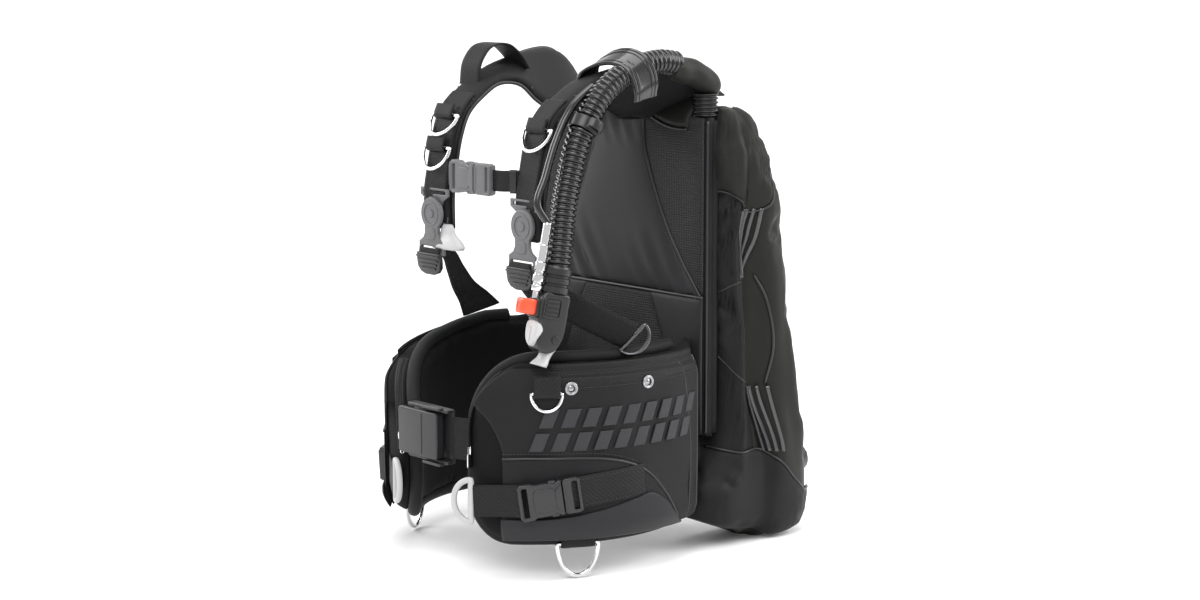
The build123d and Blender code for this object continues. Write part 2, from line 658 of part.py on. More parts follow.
FRAME_BACK = -448.0
FRAME_FRONT = -461.0
LEVER_PIN = (20, -456, BELT_Z - 33)
with BuildPart() as waist_buckle_frame:
    add_block((-40, FRAME_BACK - 2, BELT_Z - 33), (36, FRAME_BACK, BELT_Z + 33))
    add_block((-40, FRAME_FRONT, BELT_Z + 29), (36, FRAME_BACK, BELT_Z + 33))
    add_block((-40, FRAME_FRONT, BELT_Z - 33), (36, FRAME_BACK, BELT_Z - 29))
    add_block((-38, FRAME_BACK - 5, BELT_Z - 30), (-34, FRAME_BACK - 1, BELT_Z + 30))
    waist_pin = Plane(origin=LEVER_PIN, x_dir=(1, 0, 0), z_dir=(0, 0, 1))
    add_rod(waist_pin, (0, 0, -1), 2.5 + RUNNING, 70, mode=Mode.SUBTRACT)
save(waist_buckle_frame, "waist_buckle_frame")

with BuildPart() as waist_buckle_lever:
    cam_pin = Plane(origin=LEVER_PIN, x_dir=(1, 0, 0), z_dir=(0, 0, 1))
    add_rod(cam_pin, (0, 0, 0), 2.5, 66)
    add_rod(cam_pin, (0, 0, 5), 4.5, 56)
    add_block((-50, -467, BELT_Z - 28), (24, -462, BELT_Z + 28))
    add_block((16, -463, BELT_Z - 28), (24, -456, BELT_Z + 28))
save(waist_buckle_lever, "waist_buckle_lever")

# ---------------------------------------------------------------- rear dump valve
VALVE = Plane(origin=(150, 3, -205), x_dir=(1, 0, 0), z_dir=(0, 0.993, 0.12))
with BuildPart() as rear_dump_housing:
    add_rod(VALVE, (0, 0, 4), 21, 4)
    add_rod(VALVE, (0, 0, 7), 18, 12)
    add_rod(VALVE, (0, 0, 3), 14.5, 13.5, mode=Mode.SUBTRACT)
    add_rod(VALVE, (0, 0, 3), 2.4, 20, mode=Mode.SUBTRACT)
save(rear_dump_housing, "rear_dump_housing")

with BuildPart() as rear_dump_plunger:
    add_rod(VALVE, (0, 0, 4.6), 13, 1.6)
    add_rod(VALVE, (0, 0, 5), 2, 20)
    with Locations(VALVE.from_local_coords((0, 0, 28))):
        Sphere(6)
save(rear_dump_plunger, "rear_dump_plunger")
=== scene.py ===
import json
import math

import bpy
import numpy as np
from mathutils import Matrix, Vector
from mathutils.kdtree import KDTree

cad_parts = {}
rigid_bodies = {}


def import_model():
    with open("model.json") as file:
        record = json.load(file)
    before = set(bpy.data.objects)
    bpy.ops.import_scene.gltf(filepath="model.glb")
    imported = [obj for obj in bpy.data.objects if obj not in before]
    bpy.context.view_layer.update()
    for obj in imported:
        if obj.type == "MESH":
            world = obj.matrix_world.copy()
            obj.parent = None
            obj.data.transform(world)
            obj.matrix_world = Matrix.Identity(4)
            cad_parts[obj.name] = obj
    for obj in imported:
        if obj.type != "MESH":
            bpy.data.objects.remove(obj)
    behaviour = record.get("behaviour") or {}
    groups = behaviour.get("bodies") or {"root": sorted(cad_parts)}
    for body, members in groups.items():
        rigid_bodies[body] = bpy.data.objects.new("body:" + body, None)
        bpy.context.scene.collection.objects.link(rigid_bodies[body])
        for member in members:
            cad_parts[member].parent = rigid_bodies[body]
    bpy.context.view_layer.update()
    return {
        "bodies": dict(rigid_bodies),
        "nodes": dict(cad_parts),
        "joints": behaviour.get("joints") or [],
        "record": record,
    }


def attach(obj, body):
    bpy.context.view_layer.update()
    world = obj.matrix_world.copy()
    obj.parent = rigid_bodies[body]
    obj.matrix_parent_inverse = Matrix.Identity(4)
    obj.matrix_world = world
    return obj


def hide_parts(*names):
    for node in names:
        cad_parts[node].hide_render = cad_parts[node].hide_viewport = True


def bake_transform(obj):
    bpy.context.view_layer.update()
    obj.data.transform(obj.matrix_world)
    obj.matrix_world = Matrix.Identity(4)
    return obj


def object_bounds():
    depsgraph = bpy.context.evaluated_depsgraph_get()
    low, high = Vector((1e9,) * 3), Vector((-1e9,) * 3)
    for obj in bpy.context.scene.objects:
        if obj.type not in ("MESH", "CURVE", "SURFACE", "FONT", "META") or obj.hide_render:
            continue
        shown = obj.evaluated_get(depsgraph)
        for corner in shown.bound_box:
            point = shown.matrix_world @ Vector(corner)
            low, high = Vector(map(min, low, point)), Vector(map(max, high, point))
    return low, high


# Looks of a back-inflation buoyancy vest. Shapes are drawn in millimetres in the row's frame: Z up,
# the wearer faces -Y, the wearer's left is +X, and the origin is on the tank's axis.

MM = 0.001
SIDES = ((1, "left"), (-1, "right"))

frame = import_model()


# ---------------------------------------------------------------- materials


def node_material(name):
    """Returns a fresh material with its node tree, shader and object coordinates."""
    made = bpy.data.materials.new(name)
    made.use_nodes = True
    tree = made.node_tree
    shader = tree.nodes["Principled BSDF"]
    coords = tree.nodes.new("ShaderNodeTexCoord")
    return made, tree, shader, coords


def mix_colours(tree, factor, dark, light):
    """Mixes two colours by a factor socket and returns the colour socket."""
    ramp = tree.nodes.new("ShaderNodeValToRGB")
    ramp.color_ramp.elements[0].color = (*dark, 1)
    ramp.color_ramp.elements[1].color = (*light, 1)
    tree.links.new(factor, ramp.inputs["Fac"])
    return ramp.outputs["Color"]


def noise(tree, vector, scale, detail=3.0):
    """Noise texture; returns its value socket."""
    node = tree.nodes.new("ShaderNodeTexNoise")
    node.inputs["Scale"].default_value = scale
    node.inputs["Detail"].default_value = detail
    tree.links.new(vector, node.inputs["Vector"])
    return node.outputs["Fac"]


def wave(tree, vector, scale, direction):
    """Straight bands square to one axis; returns the value socket."""
    node = tree.nodes.new("ShaderNodeTexWave")
    node.bands_direction = direction
    node.inputs["Scale"].default_value = scale
    node.inputs["Distortion"].default_value = 0.3
    tree.links.new(vector, node.inputs["Vector"])
    return node.outputs["Fac"]


def combine(tree, operation, first, second):
    """Maths on two sockets or numbers."""
    node = tree.nodes.new("ShaderNodeMath")
    node.operation = operation
    for socket, value in zip(node.inputs, (first, second)):
        if isinstance(value, (int, float)):
            socket.default_value = value
        else:
            tree.links.new(value, socket)
    return node.outputs[0]


def bump(tree, shader, height, strength, distance):
    """Feeds a height socket to the shader's normal."""
    node = tree.nodes.new("ShaderNodeBump")
    node.inputs["Strength"].default_value = strength
    node.inputs["Distance"].default_value = distance
    tree.links.new(height, node.inputs["Height"])
    tree.links.new(node.outputs["Normal"], shader.inputs["Normal"])


def fabric(name, dark, light, roughness, thread, grain=0.5, sheen=0.02):
    """Woven cloth: crossed threads this many millimetres apart, uneven dye and a soft sheen."""
    made, tree, shader, coords = node_material(name)
    place = coords.outputs["Object"]
    scale = 314.0 / thread
    upright = wave(tree, place, scale, "Z")
    across = wave(tree, place, scale, "DIAGONAL")
    weave = combine(tree, "MULTIPLY", upright, across)
    stain = noise(tree, place, 9.0)
    lint = noise(tree, place, 420.0)
    broad, fine = combine(tree, "MULTIPLY", stain, 0.6), combine(tree, "MULTIPLY", lint, 0.4)
    mottle = combine(tree, "ADD", broad, fine)
    tree.links.new(mix_colours(tree, mottle, dark, light), shader.inputs["Base Color"])
    shader.inputs["Roughness"].default_value = roughness
    shader.inputs["Sheen Weight"].default_value = sheen
    shader.inputs["Sheen Roughness"].default_value = 0.4
    shader.inputs["Specular IOR Level"].default_value = 0.2
    bump(tree, shader, combine(tree, "ADD", weave, combine(tree, "MULTIPLY", lint, 0.6)), grain, 0.0004)
    return made


def ribbed_webbing(name, dark, light, roughness=0.55):
    """Webbing: fine ribs along the strap, from the UV map laid along it."""
    made, tree, shader, coords = node_material(name)
    strap = coords.outputs["UV"]
    ribs = wave(tree, strap, 150.0, "Y")
    chevron = wave(tree, strap, 110.0, "DIAGONAL")
    height = combine(tree, "ADD", ribs, combine(tree, "MULTIPLY", chevron, 0.7))
    tone = combine(tree, "MULTIPLY", height, 0.5)
    tree.links.new(mix_colours(tree, tone, dark, light), shader.inputs["Base Color"])
    shader.inputs["Roughness"].default_value = roughness
    shader.inputs["Specular IOR Level"].default_value = 0.25
    bump(tree, shader, height, 0.6, 0.0005)
    return made


def air_mesh(name, dark, light):
    """Spacer mesh: small open cells set in rows."""
    made, tree, shader, coords = node_material(name)
    cells = tree.nodes.new("ShaderNodeTexVoronoi")
    cells.feature = "F1"
    cells.inputs["Scale"].default_value = 330.0
    cells.inputs["Randomness"].default_value = 0.12
    tree.links.new(coords.outputs["Object"], cells.inputs["Vector"])
    hole = combine(tree, "MULTIPLY", cells.outputs["Distance"], 1.9)
    tree.links.new(mix_colours(tree, hole, dark, light), shader.inputs["Base Color"])
    shader.inputs["Roughness"].default_value = 0.75
    bump(tree, shader, hole, 0.9, 0.0012)
    return made


def plastic(name, colour, roughness, grain=0.15, coat=0.0):
    """Moulded plastic with a fine spark-eroded grain."""
    made, tree, shader, coords = node_material(name)
    fine = noise(tree, coords.outputs["Object"], 900.0)
    broad = noise(tree, coords.outputs["Object"], 25.0)
    light = tuple(min(1.0, c * 1.18 + 0.004) for c in colour)
    tree.links.new(mix_colours(tree, broad, colour, light), shader.inputs["Base Color"])
    shader.inputs["Roughness"].default_value = roughness
    shader.inputs["Coat Weight"].default_value = coat
    bump(tree, shader, fine, grain, 0.0002)
    return made


def metal(name, colour, roughness):
    """Polished metal with faint scratches."""
    made, tree, shader, coords = node_material(name)
    scratch = noise(tree, coords.outputs["Object"], 260.0, 6.0)
    light = tuple(min(1.0, c * 1.1) for c in colour)
    tree.links.new(mix_colours(tree, scratch, colour, light), shader.inputs["Base Color"])
    shader.inputs["Metallic"].default_value = 1.0
    rough = combine(tree, "ADD", combine(tree, "MULTIPLY", scratch, 0.12), roughness)
    tree.links.new(rough, shader.inputs["Roughness"])
    return made


MATERIALS = {
    "nylon": fabric("nylon", (0.0045, 0.0045, 0.005), (0.011, 0.011, 0.012), 0.62, 1.1),
    "nylon_soft": fabric("nylon_soft", (0.012, 0.012, 0.013), (0.026, 0.026, 0.028), 0.46, 0.9, 0.35),
    "wing_nylon": fabric("wing_nylon", (0.0078, 0.0078, 0.0066), (0.0155, 0.0155, 0.0135), 0.48, 0.8, 0.3),
    # Darker copy of the wing fabric: painted shade for the air cell's front and bottom panels, which lie in
    # shadow.
    "wing_nylon_painted_shade": fabric("wing_nylon_painted_shade", (0.003, 0.003, 0.003), (0.0065, 0.0065, 0.0065), 0.5, 0.8, 0.3),
    "pale_nylon": fabric("pale_nylon", (0.013, 0.013, 0.0145), (0.024, 0.024, 0.026), 0.42, 0.9, 0.3),
    "lining": fabric("lining", (0.0018, 0.0018, 0.0018), (0.0045, 0.0045, 0.0045), 0.85, 1.3, 0.3, 0.0),
    "print": fabric("print", (0.0045, 0.0045, 0.005), (0.010, 0.010, 0.0115), 0.55, 1.4, 0.6),
    "mark": fabric("mark", (0.022, 0.022, 0.024), (0.042, 0.042, 0.045), 0.45, 1.4, 0.6),
    "mesh": air_mesh("mesh", (0.020, 0.020, 0.022), (0.0015, 0.0015, 0.0015)),
    "webbing": ribbed_webbing("webbing", (0.0025, 0.0025, 0.0025), (0.012, 0.012, 0.013)),
    "piping": plastic("piping", (0.006, 0.006, 0.0065), 0.38, 0.1),
    "thread": plastic("thread", (0.026, 0.026, 0.028), 0.6, 0.1),
    "elastic": plastic("elastic", (0.030, 0.030, 0.032), 0.24, 0.1, 0.4),
    "rubber": plastic("rubber", (0.004, 0.004, 0.0045), 0.22, 0.08, 0.3),
    "black_plastic": plastic("black_plastic", (0.007, 0.007, 0.0075), 0.34),
    "dark_plastic": plastic("dark_plastic", (0.013, 0.013, 0.0145), 0.36),
    "grey_plastic": plastic("grey_plastic", (0.095, 0.095, 0.099), 0.4),
    "pale_plastic": plastic("pale_plastic", (0.40, 0.40, 0.40), 0.4),
    "orange_plastic": plastic("orange_plastic", (0.80, 0.065, 0.018), 0.3, 0.05, 0.3),
    "chrome": metal("chrome", (0.72, 0.72, 0.73), 0.07),
    "gunmetal": metal("gunmetal", (0.10, 0.10, 0.105), 0.2),
    "steel": metal("steel", (0.34, 0.34, 0.35), 0.24),
}


# ---------------------------------------------------------------- shape helpers


def finish_piece(made, look, body, stands_for, slot=None):
    """Gives a piece its material, hides the CAD nodes it stands for and attaches it to its body; a body given
    as a tuple is only baked in place. The slot is not used.
    """
    made.data.materials.clear()
    made.data.materials.append(MATERIALS[look])
    nodes = (stands_for,) if isinstance(stands_for, str) else stands_for
    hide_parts(*nodes)
    slot or look
    if isinstance(body, str):
        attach(made, body)
    else:
        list(body)
        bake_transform(made)


def new_mesh(name, points, faces, smooth=True):
    """Makes an object from points in millimetres."""
    data = bpy.data.meshes.new(name)
    data.from_pydata((np.asarray(points, float) * MM).tolist(), [], [list(f) for f in faces])
    data.validate()
    data.polygons.foreach_set("use_smooth", [smooth] * len(data.polygons))
    made = bpy.data.objects.new(name, data)
    bpy.context.scene.collection.objects.link(made)
    return made


def smooth_path(points, count):
    """Even points along a smooth curve through the given ones."""
    points = np.asarray(points, float)
    if len(points) == 2:
        return points[0] + np.linspace(0, 1, count)[:, None] * (points[1] - points[0])
    chord = np.r_[0, np.cumsum(np.maximum(np.linalg.norm(np.diff(points, axis=0), axis=1), 1e-6))]
    slope = np.gradient(points, chord, axis=0)
    fine = np.linspace(0, chord[-1], 12 * len(points))
    seg = np.clip(np.searchsorted(chord, fine, side="right") - 1, 0, len(points) - 2)
    width = chord[seg + 1] - chord[seg]
    t = ((fine - chord[seg]) / width)[:, None]
    w = width[:, None]
    curve = (
        (2 * t**3 - 3 * t**2 + 1) * points[seg]
        + (t**3 - 2 * t**2 + t) * w * slope[seg]
        + (-2 * t**3 + 3 * t**2) * points[seg + 1]
        + (t**3 - t**2) * w * slope[seg + 1]
    )
    run = run_along(curve)
    even = np.linspace(0, run[-1], count)
    return np.stack([np.interp(even, run, curve[:, i]) for i in range(3)], axis=1)


def unit(v):
    """Vectors scaled to length one."""
    v = np.asarray(v, float)
    return v / np.maximum(np.linalg.norm(v, axis=-1, keepdims=True), 1e-9)


def path_frames(path, closed=False):
    """Tangent and two sideways directions at each point, without twist."""
    ahead = np.roll(path, -1, axis=0) if closed else np.vstack([path[1:], 2 * path[-1] - path[-2]])
    behind = np.roll(path, 1, axis=0) if closed else np.vstack([2 * path[0] - path[1], path[:-1]])
    tangent = unit(ahead - behind)
    start = np.array([0, 0, 1.0]) if abs(tangent[0][2]) < 0.9 else np.array([1.0, 0, 0])
    side = unit(np.cross(tangent[0], start))
    sides = []
    for direction in tangent:
        side = unit(side - direction * np.dot(side, direction))
        sides.append(side)
    sides = np.array(sides)
    return tangent, sides, np.cross(tangent, sides)


def grid_faces(rows, columns, wrap_rows=False, wrap_columns=False):
    """Quads of a grid numbered row by row."""
    faces = []
    for i in range(rows if wrap_rows else rows - 1):
        for j in range(columns if wrap_columns else columns - 1):
            a, b = i % rows, (i + 1) % rows
            c, d = j % columns, (j + 1) % columns
            faces.append((a * columns + c, a * columns + d, b * columns + d, b * columns + c))
    return faces


def capped_faces(rows, columns):
    """Faces of a tube numbered ring by ring, with both ends closed."""
    faces = grid_faces(rows, columns, False, True)
    faces.append(tuple(range(columns - 1, -1, -1)))
    faces.append(tuple(range((rows - 1) * columns, rows * columns)))
    return faces


def full_turn(count):
    """Evenly spaced angles once round a circle, in radians."""
    return np.linspace(0, 2 * np.pi, count, endpoint=False)


def run_along(path):
    """Distance along a path at each of its points."""
    return np.r_[0, np.cumsum(np.linalg.norm(np.diff(path, axis=0), axis=1))]


def tube(name, path, radius, sides=12, closed=False):
    """Round tube with closed ends; radius may change along it."""
    path = np.asarray(path, float)
    radius = np.broadcast_to(np.asarray(radius, float), (len(path),))
    _, across, up = path_frames(path, closed)
    turn = full_turn(sides)
    ring = np.cos(turn)[None, :, None] * across[:, None] + np.sin(turn)[None, :, None] * up[:, None]
    points = (path[:, None] + ring * radius[:, None, None]).reshape(-1, 3)
    faces = grid_faces(len(path), sides, True, True) if closed else capped_faces(len(path), sides)
    return new_mesh(name, points, faces)


def strap(name, path, across, width, thickness, edge=0.6):
    """Flat webbing along a path, with rounded edges and a UV map in metres."""
    path = np.asarray(path, float)
    across = np.broadcast_to(np.asarray(across, float), path.shape)
    ahead = np.gradient(path, axis=0)
    across = unit(across - unit(ahead) * np.sum(across * unit(ahead), axis=1, keepdims=True))
    normal = unit(np.cross(ahead, across))
    width = np.broadcast_to(np.asarray(width, float), (len(path),))
    half, deep = width / 2, thickness / 2
    lanes = np.linspace(-1, 1, 9)
    section = [(x, 1.0) for x in lanes] + [(x, -1.0) for x in lanes[::-1]]
    rings, flat = [], []
    run = run_along(path)
    for x, z in section:
        rim = deep * (edge if abs(x) == 1.0 else 1.0)
        rings.append(path + across * (x * half)[:, None] + normal * (z * rim))
        flat.append(np.stack([run, x * half], axis=1))
    points = np.stack(rings, axis=1).reshape(-1, 3)
    flat = np.stack(flat, axis=1).reshape(-1, 2) * MM
    made = new_mesh(name, points, capped_faces(len(path), len(section)))
    layer = made.data.uv_layers.new(name="UVMap")
    corner = np.zeros(len(made.data.loops), int)
    made.data.loops.foreach_get("vertex_index", corner)
    layer.data.foreach_set("uv", flat[corner].ravel())
    return made


def slab(name, middle, normal, thickness):
    """Closed padded sheet round a grid of middle points; thickness may change over the grid."""
    rows, columns = middle.shape[:2]
    half = np.broadcast_to(np.asarray(thickness, float), (rows, columns))[..., None] / 2
    top = (middle + normal * half).reshape(-1, 3)
    bottom = (middle - normal * half).reshape(-1, 3)
    count = rows * columns
    faces = grid_faces(rows, columns)
    faces += [tuple(count + i for i in reversed(f)) for f in grid_faces(rows, columns)]
    rim = [(0, j) for j in range(columns)] + [(i, columns - 1) for i in range(1, rows)]
    rim += [(rows - 1, j) for j in range(columns - 2, -1, -1)] + [(i, 0) for i in range(rows - 2, 0, -1)]
    order = [i * columns + j for i, j in rim]
    for a, b in zip(order, order[1:] + order[:1]):
        faces.append((b, a, count + a, count + b))
    return new_mesh(name, np.vstack([top, bottom]), faces)


def rim_profile(count, share):
    """Round edge profile: zero at both ends, one in the middle."""
    s = np.linspace(0, 1, count)
    near = np.clip(np.minimum(s, 1 - s) / share, 0, 1)
    return np.sqrt(1 - (1 - near) ** 2)


def padding(rows, columns, row_share, column_share, least=0.3):
    """Share of the full thickness over a grid: least at its rim and one inside."""
    body = np.outer(rim_profile(rows, row_share), rim_profile(columns, column_share))
    return least + (1 - least) * body


def turned(side, *grids):
    """Grids with their columns reversed on the right side, so that the faces still look outwards."""
    return grids if side > 0 else tuple(grid[:, ::-1] for grid in grids)


def grid_normals(middle):
    """Normals of a grid of points."""
    along = np.gradient(middle, axis=0)
    across = np.gradient(middle, axis=1)
    return unit(np.cross(along, across))


def join(name, parts):
    """Joins several meshes into one."""
    bpy.ops.object.select_all(action="DESELECT")
    for part in parts:
        part.select_set(True)
    bpy.context.view_layer.objects.active = parts[0]
    bpy.ops.object.join()
    parts[0].name = name
    parts[0].data.name = name
    return parts[0]


def apply_modifiers(made):
    """Applies every modifier of an object."""
    bpy.ops.object.select_all(action="DESELECT")
    made.select_set(True)
    bpy.context.view_layer.objects.active = made
    for modifier in list(made.modifiers):
        bpy.ops.object.modifier_apply(modifier=modifier.name)


def plate(name, outlines, depth, place, bevel=0.8, resolution=3):
    """Moulded plate: closed outlines (the first is the edge, the rest are holes) drawn in a local plane.

    place is (origin, x direction, outward direction) in the row's frame, in millimetres.
    """
    curve = bpy.data.curves.new(name, "CURVE")
    curve.dimensions = "2D"
    curve.fill_mode = "BOTH"
    curve.extrude = max(depth / 2 - bevel, 0.05) * MM
    curve.bevel_depth = bevel * MM
    curve.bevel_resolution = resolution
    curve.offset = -bevel * MM
    for outline in outlines:
        line = curve.splines.new("POLY")
        line.points.add(len(outline) - 1)
        for point, (x, y) in zip(line.points, outline):
            point.co = (x * MM, y * MM, 0, 1)
        line.use_cyclic_u = True
    holder = bpy.data.objects.new(name + "_curve", curve)
    bpy.context.scene.collection.objects.link(holder)
    bpy.context.view_layer.update()
    data = bpy.data.meshes.new_from_object(holder.evaluated_get(bpy.context.evaluated_depsgraph_get()))
    bpy.data.objects.remove(holder)
    origin, x_dir, outward = (np.asarray(v, float) for v in place)
    outward = unit(outward)
    x_dir = unit(x_dir - outward * np.dot(x_dir, outward))
    y_dir = np.cross(outward, x_dir)
    local = np.zeros(len(data.vertices) * 3)
    data.vertices.foreach_get("co", local)
    local = local.reshape(-1, 3)
    world = origin * MM + local[:, :1] * x_dir + local[:, 1:2] * y_dir + local[:, 2:] * outward
    data.vertices.foreach_set("co", world.astype(np.float32).ravel())
    data.update()
    made = bpy.data.objects.new(name, data)
    bpy.context.scene.collection.objects.link(made)
    bpy.context.view_layer.objects.active = made
    weld = made.modifiers.new("weld", "WELD")
    weld.merge_threshold = 0.00002
    apply_modifiers(made)
    smooth_by_angle(made, 35)
    return made


def smooth_by_angle(made, angle):
    """Smooth shading that keeps edges sharper than the angle."""
    bpy.ops.object.select_all(action="DESELECT")
    made.select_set(True)
    bpy.context.view_layer.objects.active = made
    bpy.ops.object.shade_smooth_by_angle(angle=math.radians(angle))


def rounded(width, height, radius, middle=(0, 0), steps=5):
    """Outline of a rounded rectangle."""
    points = []
    for corner, (sx, sy) in enumerate(((1, 1), (-1, 1), (-1, -1), (1, -1))):
        cx = middle[0] + sx * (width / 2 - radius)
        cy = middle[1] + sy * (height / 2 - radius)
        for step in range(steps + 1):
            turn = math.radians(90 * (corner + step / steps))
            points.append((cx + radius * math.cos(turn), cy + radius * math.sin(turn)))
    return points


def disc(radius, middle=(0, 0), steps=40):
    """Outline of a circle."""
    turns = [2 * math.pi * i / steps for i in range(steps)]
    return [(middle[0] + radius * math.cos(t), middle[1] + radius * math.sin(t)) for t in turns]


def smooth_outline(points, count=60):
    """Closed smooth outline through a few points."""
    ring = [(x, y, 0) for x, y in points]
    ring = ring[-2:] + ring + ring[:3]
    fine = smooth_path(ring, 40 * len(ring))
    half = len(fine) // 2
    gap = np.linalg.norm(fine[:, :2] - np.array(points[0]), axis=1)
    start, tail = np.argmin(gap[:half]), half + np.argmin(gap[half:])
    pick = np.linspace(start, tail, count, endpoint=False).astype(int)
    return [(x, y) for x, y in fine[pick, :2]]


def stitches(name, path, outward, length=2.6, gap=1.5, radius=0.45):
    """A row of thread stitches lying on a surface along a path."""
    path = np.asarray(path, float)
    outward = np.broadcast_to(unit(outward), path.shape)
    run = run_along(path)
    starts = np.arange(0, run[-1] - length, length + gap)
    points, faces = [], []
    for start in starts:
        ends = [start, start + length / 2, start + length]
        line = np.array([[np.interp(e, run, path[:, i]) for i in range(3)] for e in ends])
        up = np.array([np.interp(start, run, outward[:, i]) for i in range(3)])
        along = unit(line[2] - line[0])
        side = unit(np.cross(along, up))
        base = len(points)
        for centre, size in zip(line, (0.45, 1.0, 0.45)):
            for turn in range(6):
                angle = turn * math.pi / 3
                points.append(centre + radius * size * (math.cos(angle) * side + math.sin(angle) * up))
        faces += [tuple(base + i for i in face) for face in capped_faces(3, 6)]
    return new_mesh(name, points, faces)


def puff(made, pressure, cap, voxel=5.0, still=None, frames=20):
    """Inflates a closed piece with a cloth run, then holds each point within cap millimetres of its start.

    Returns the start points and how far each moved, in millimetres.
    """
    shift = None
    remesh = made.modifiers.new("remesh", "REMESH")
    remesh.mode = "VOXEL"
    remesh.voxel_size = voxel * MM
    remesh.use_smooth_shade = True
    apply_modifiers(made)
    rest = np.zeros(len(made.data.vertices) * 3)
    made.data.vertices.foreach_get("co", rest)
    rest = rest.reshape(-1, 3)
    cloth = made.modifiers.new("cloth", "CLOTH")
    cloth.settings.quality = 4
    cloth.settings.mass = 0.3
    cloth.settings.tension_stiffness = 12
    cloth.settings.compression_stiffness = 6
    cloth.settings.bending_stiffness = 0.3
    cloth.settings.shrink_min = -0.04
    cloth.settings.use_pressure = True
    cloth.settings.uniform_pressure_force = pressure
    cloth.settings.effector_weights.gravity = 0
    cloth.collision_settings.use_self_collision = False
    if still is not None:
        group = made.vertex_groups.new(name="still")
        held = [int(i) for i in np.nonzero(still(rest / MM))[0]]
        group.add(held, 1.0, "ADD")
        cloth.settings.vertex_group_mass = "still"
    scene = bpy.context.scene
    scene.frame_start, scene.frame_end = 1, frames
    for number in range(1, frames + 1):
        scene.frame_set(number)
    apply_modifiers(made)
    moved = np.zeros(len(rest) * 3)
    made.data.vertices.foreach_get("co", moved)
    step = moved.reshape(-1, 3) - rest
    size = np.linalg.norm(step, axis=1, keepdims=True)
    step *= np.minimum(1, cap * MM / np.maximum(size, 1e-9))
    made.data.vertices.foreach_set("co", (rest + step).astype(np.float32).ravel())
    made.data.update()
    scene.frame_set(1)
    shift = rest / MM, step / MM
    fine = made.modifiers.new("fine", "SUBSURF")
    fine.levels = fine.render_levels = 1
    apply_modifiers(made)
    made.data.polygons.foreach_set("use_smooth", [True] * len(made.data.polygons))
    return shift


def follow(made, shift):
    """Moves a piece along with the inflated one it lies on."""
    if shift is None:
        return
    rest, step = shift
    tree = KDTree(len(rest))
    for i, point in enumerate(rest):
        tree.insert(point, i)
    tree.balance()
    points = get_points(made)
    for i, point in enumerate(points):
        near = tree.find_n(point, 4)
        points[i] += np.mean([step[index] for _, index, _ in near], axis=0)
    set_points(made, points)


def get_points(made):
    """Points of a mesh, in millimetres."""
    flat = np.zeros(len(made.data.vertices) * 3)
    made.data.vertices.foreach_get("co", flat)
    return flat.reshape(-1, 3) / MM


def set_points(made, points):
    """Writes points in millimetres back to a mesh."""
    made.data.vertices.foreach_set("co", (points * MM).astype(np.float32).ravel())
    made.data.update()


def get_normals(made):
    """Vertex normals of a mesh."""
    flat = np.zeros(len(made.data.vertices) * 3)
    made.data.vertices.foreach_get("normal", flat)
    return flat.reshape(-1, 3)


def folds(points, normals, where, direction, spacing, height, seed):
    """Adds soft wrinkles across a direction, strongest where the mask is one."""
    direction = unit(direction)
    waves = np.random.default_rng(seed)
    along = points @ direction
    wander = np.zeros(len(points))
    for axis in range(3):
        size = waves.uniform(0.4, 1.0)
        wander += size * np.sin(points[:, axis] / waves.uniform(26, 55) + waves.uniform(0, 6))
    wobble = np.sin(along / spacing * 2 * np.pi + 1.6 * wander) * (0.6 + 0.4 * np.sin(wander * 1.7))
    return points + normals * (height * wobble * where)[:, None]


# ---------------------------------------------------------------- waist lobe geometry
LOBE_X, LOBE_Y = -25.0, -269.0
PANEL_IN, PANEL_OUT = 178.0, 192.0
LOBE_TOP, LOBE_BOTTOM = -30.0, -246.0
TIP_ANGLE = -64.0
# How far the far lobe's top falls towards its front.
FAR_TOP_DROP = 32.0
# Angle and drop over which each lobe's top front corner is rounded.
TOP_CORNER = {1: (24.0, 88.0), -1: (44.0, 140.0)}
# Angle and rise over which both lobes' lower front corner is rounded.
BASE_CORNER = (14.0, 56.0)


def lobe(side, angle, radius, height):
    """Points on a waist lobe from angle in degrees, radius and height."""
    angle, height = np.asarray(angle, float), np.asarray(height, float)
    turn = np.radians(angle)
    x = side * (LOBE_X + radius * np.cos(turn))
    y = LOBE_Y + radius * np.sin(turn)
    if side < 0:
        forward = np.clip((8 - angle) / 62, 0, 1)
        share = np.clip((height - LOBE_BOTTOM) / (LOBE_TOP - LOBE_BOTTOM), 0, 1.2)
        height = height - FAR_TOP_DROP * forward * share**3
    return np.stack(np.broadcast_arrays(x, y, height), axis=-1)


def outward(side, angle):
    """Outward direction on a lobe."""
    turn = np.radians(np.asarray(angle, float))
    return np.stack(np.broadcast_arrays(side * np.cos(turn), np.sin(turn), 0.0 * turn), axis=-1)


def front_edge(side, height):
    """Angle of a lobe's rounded front edge at each height."""
    height = np.asarray(height, float)
    top_turn, top_drop = TOP_CORNER[side]
    base_turn, base_rise = BASE_CORNER
    upper = np.clip((height - (LOBE_TOP - top_drop)) / top_drop, 0, 1)
    lower = np.clip(((LOBE_BOTTOM + base_rise) - height) / base_rise, 0, 1)
    return TIP_ANGLE + top_turn * (1 - np.sqrt(1 - upper**2)) + base_turn * (1 - np.sqrt(1 - lower**2))


def level(value):
    """Edge that stays at one value."""
    return lambda place: value + 0 * place


def lobe_sheet(name, side, inner, outer, rear, rows=60, columns=90):
    """Padded sheet on a lobe between two radii, with the rounded front outline."""
    heights = np.linspace(LOBE_BOTTOM, LOBE_TOP, rows)
    front = front_edge(side, heights)
    share = np.linspace(0, 1, columns)
    angle = front[:, None] + (rear - front[:, None]) * share[None]
    middle = lobe(side, angle, (inner + outer) / 2, heights[:, None])
    normal = outward(side, angle)
    thick = (outer - inner) * padding(rows, columns, 0.05, 0.03, 0.12)
    return slab(name, *turned(side, middle, normal, thick))


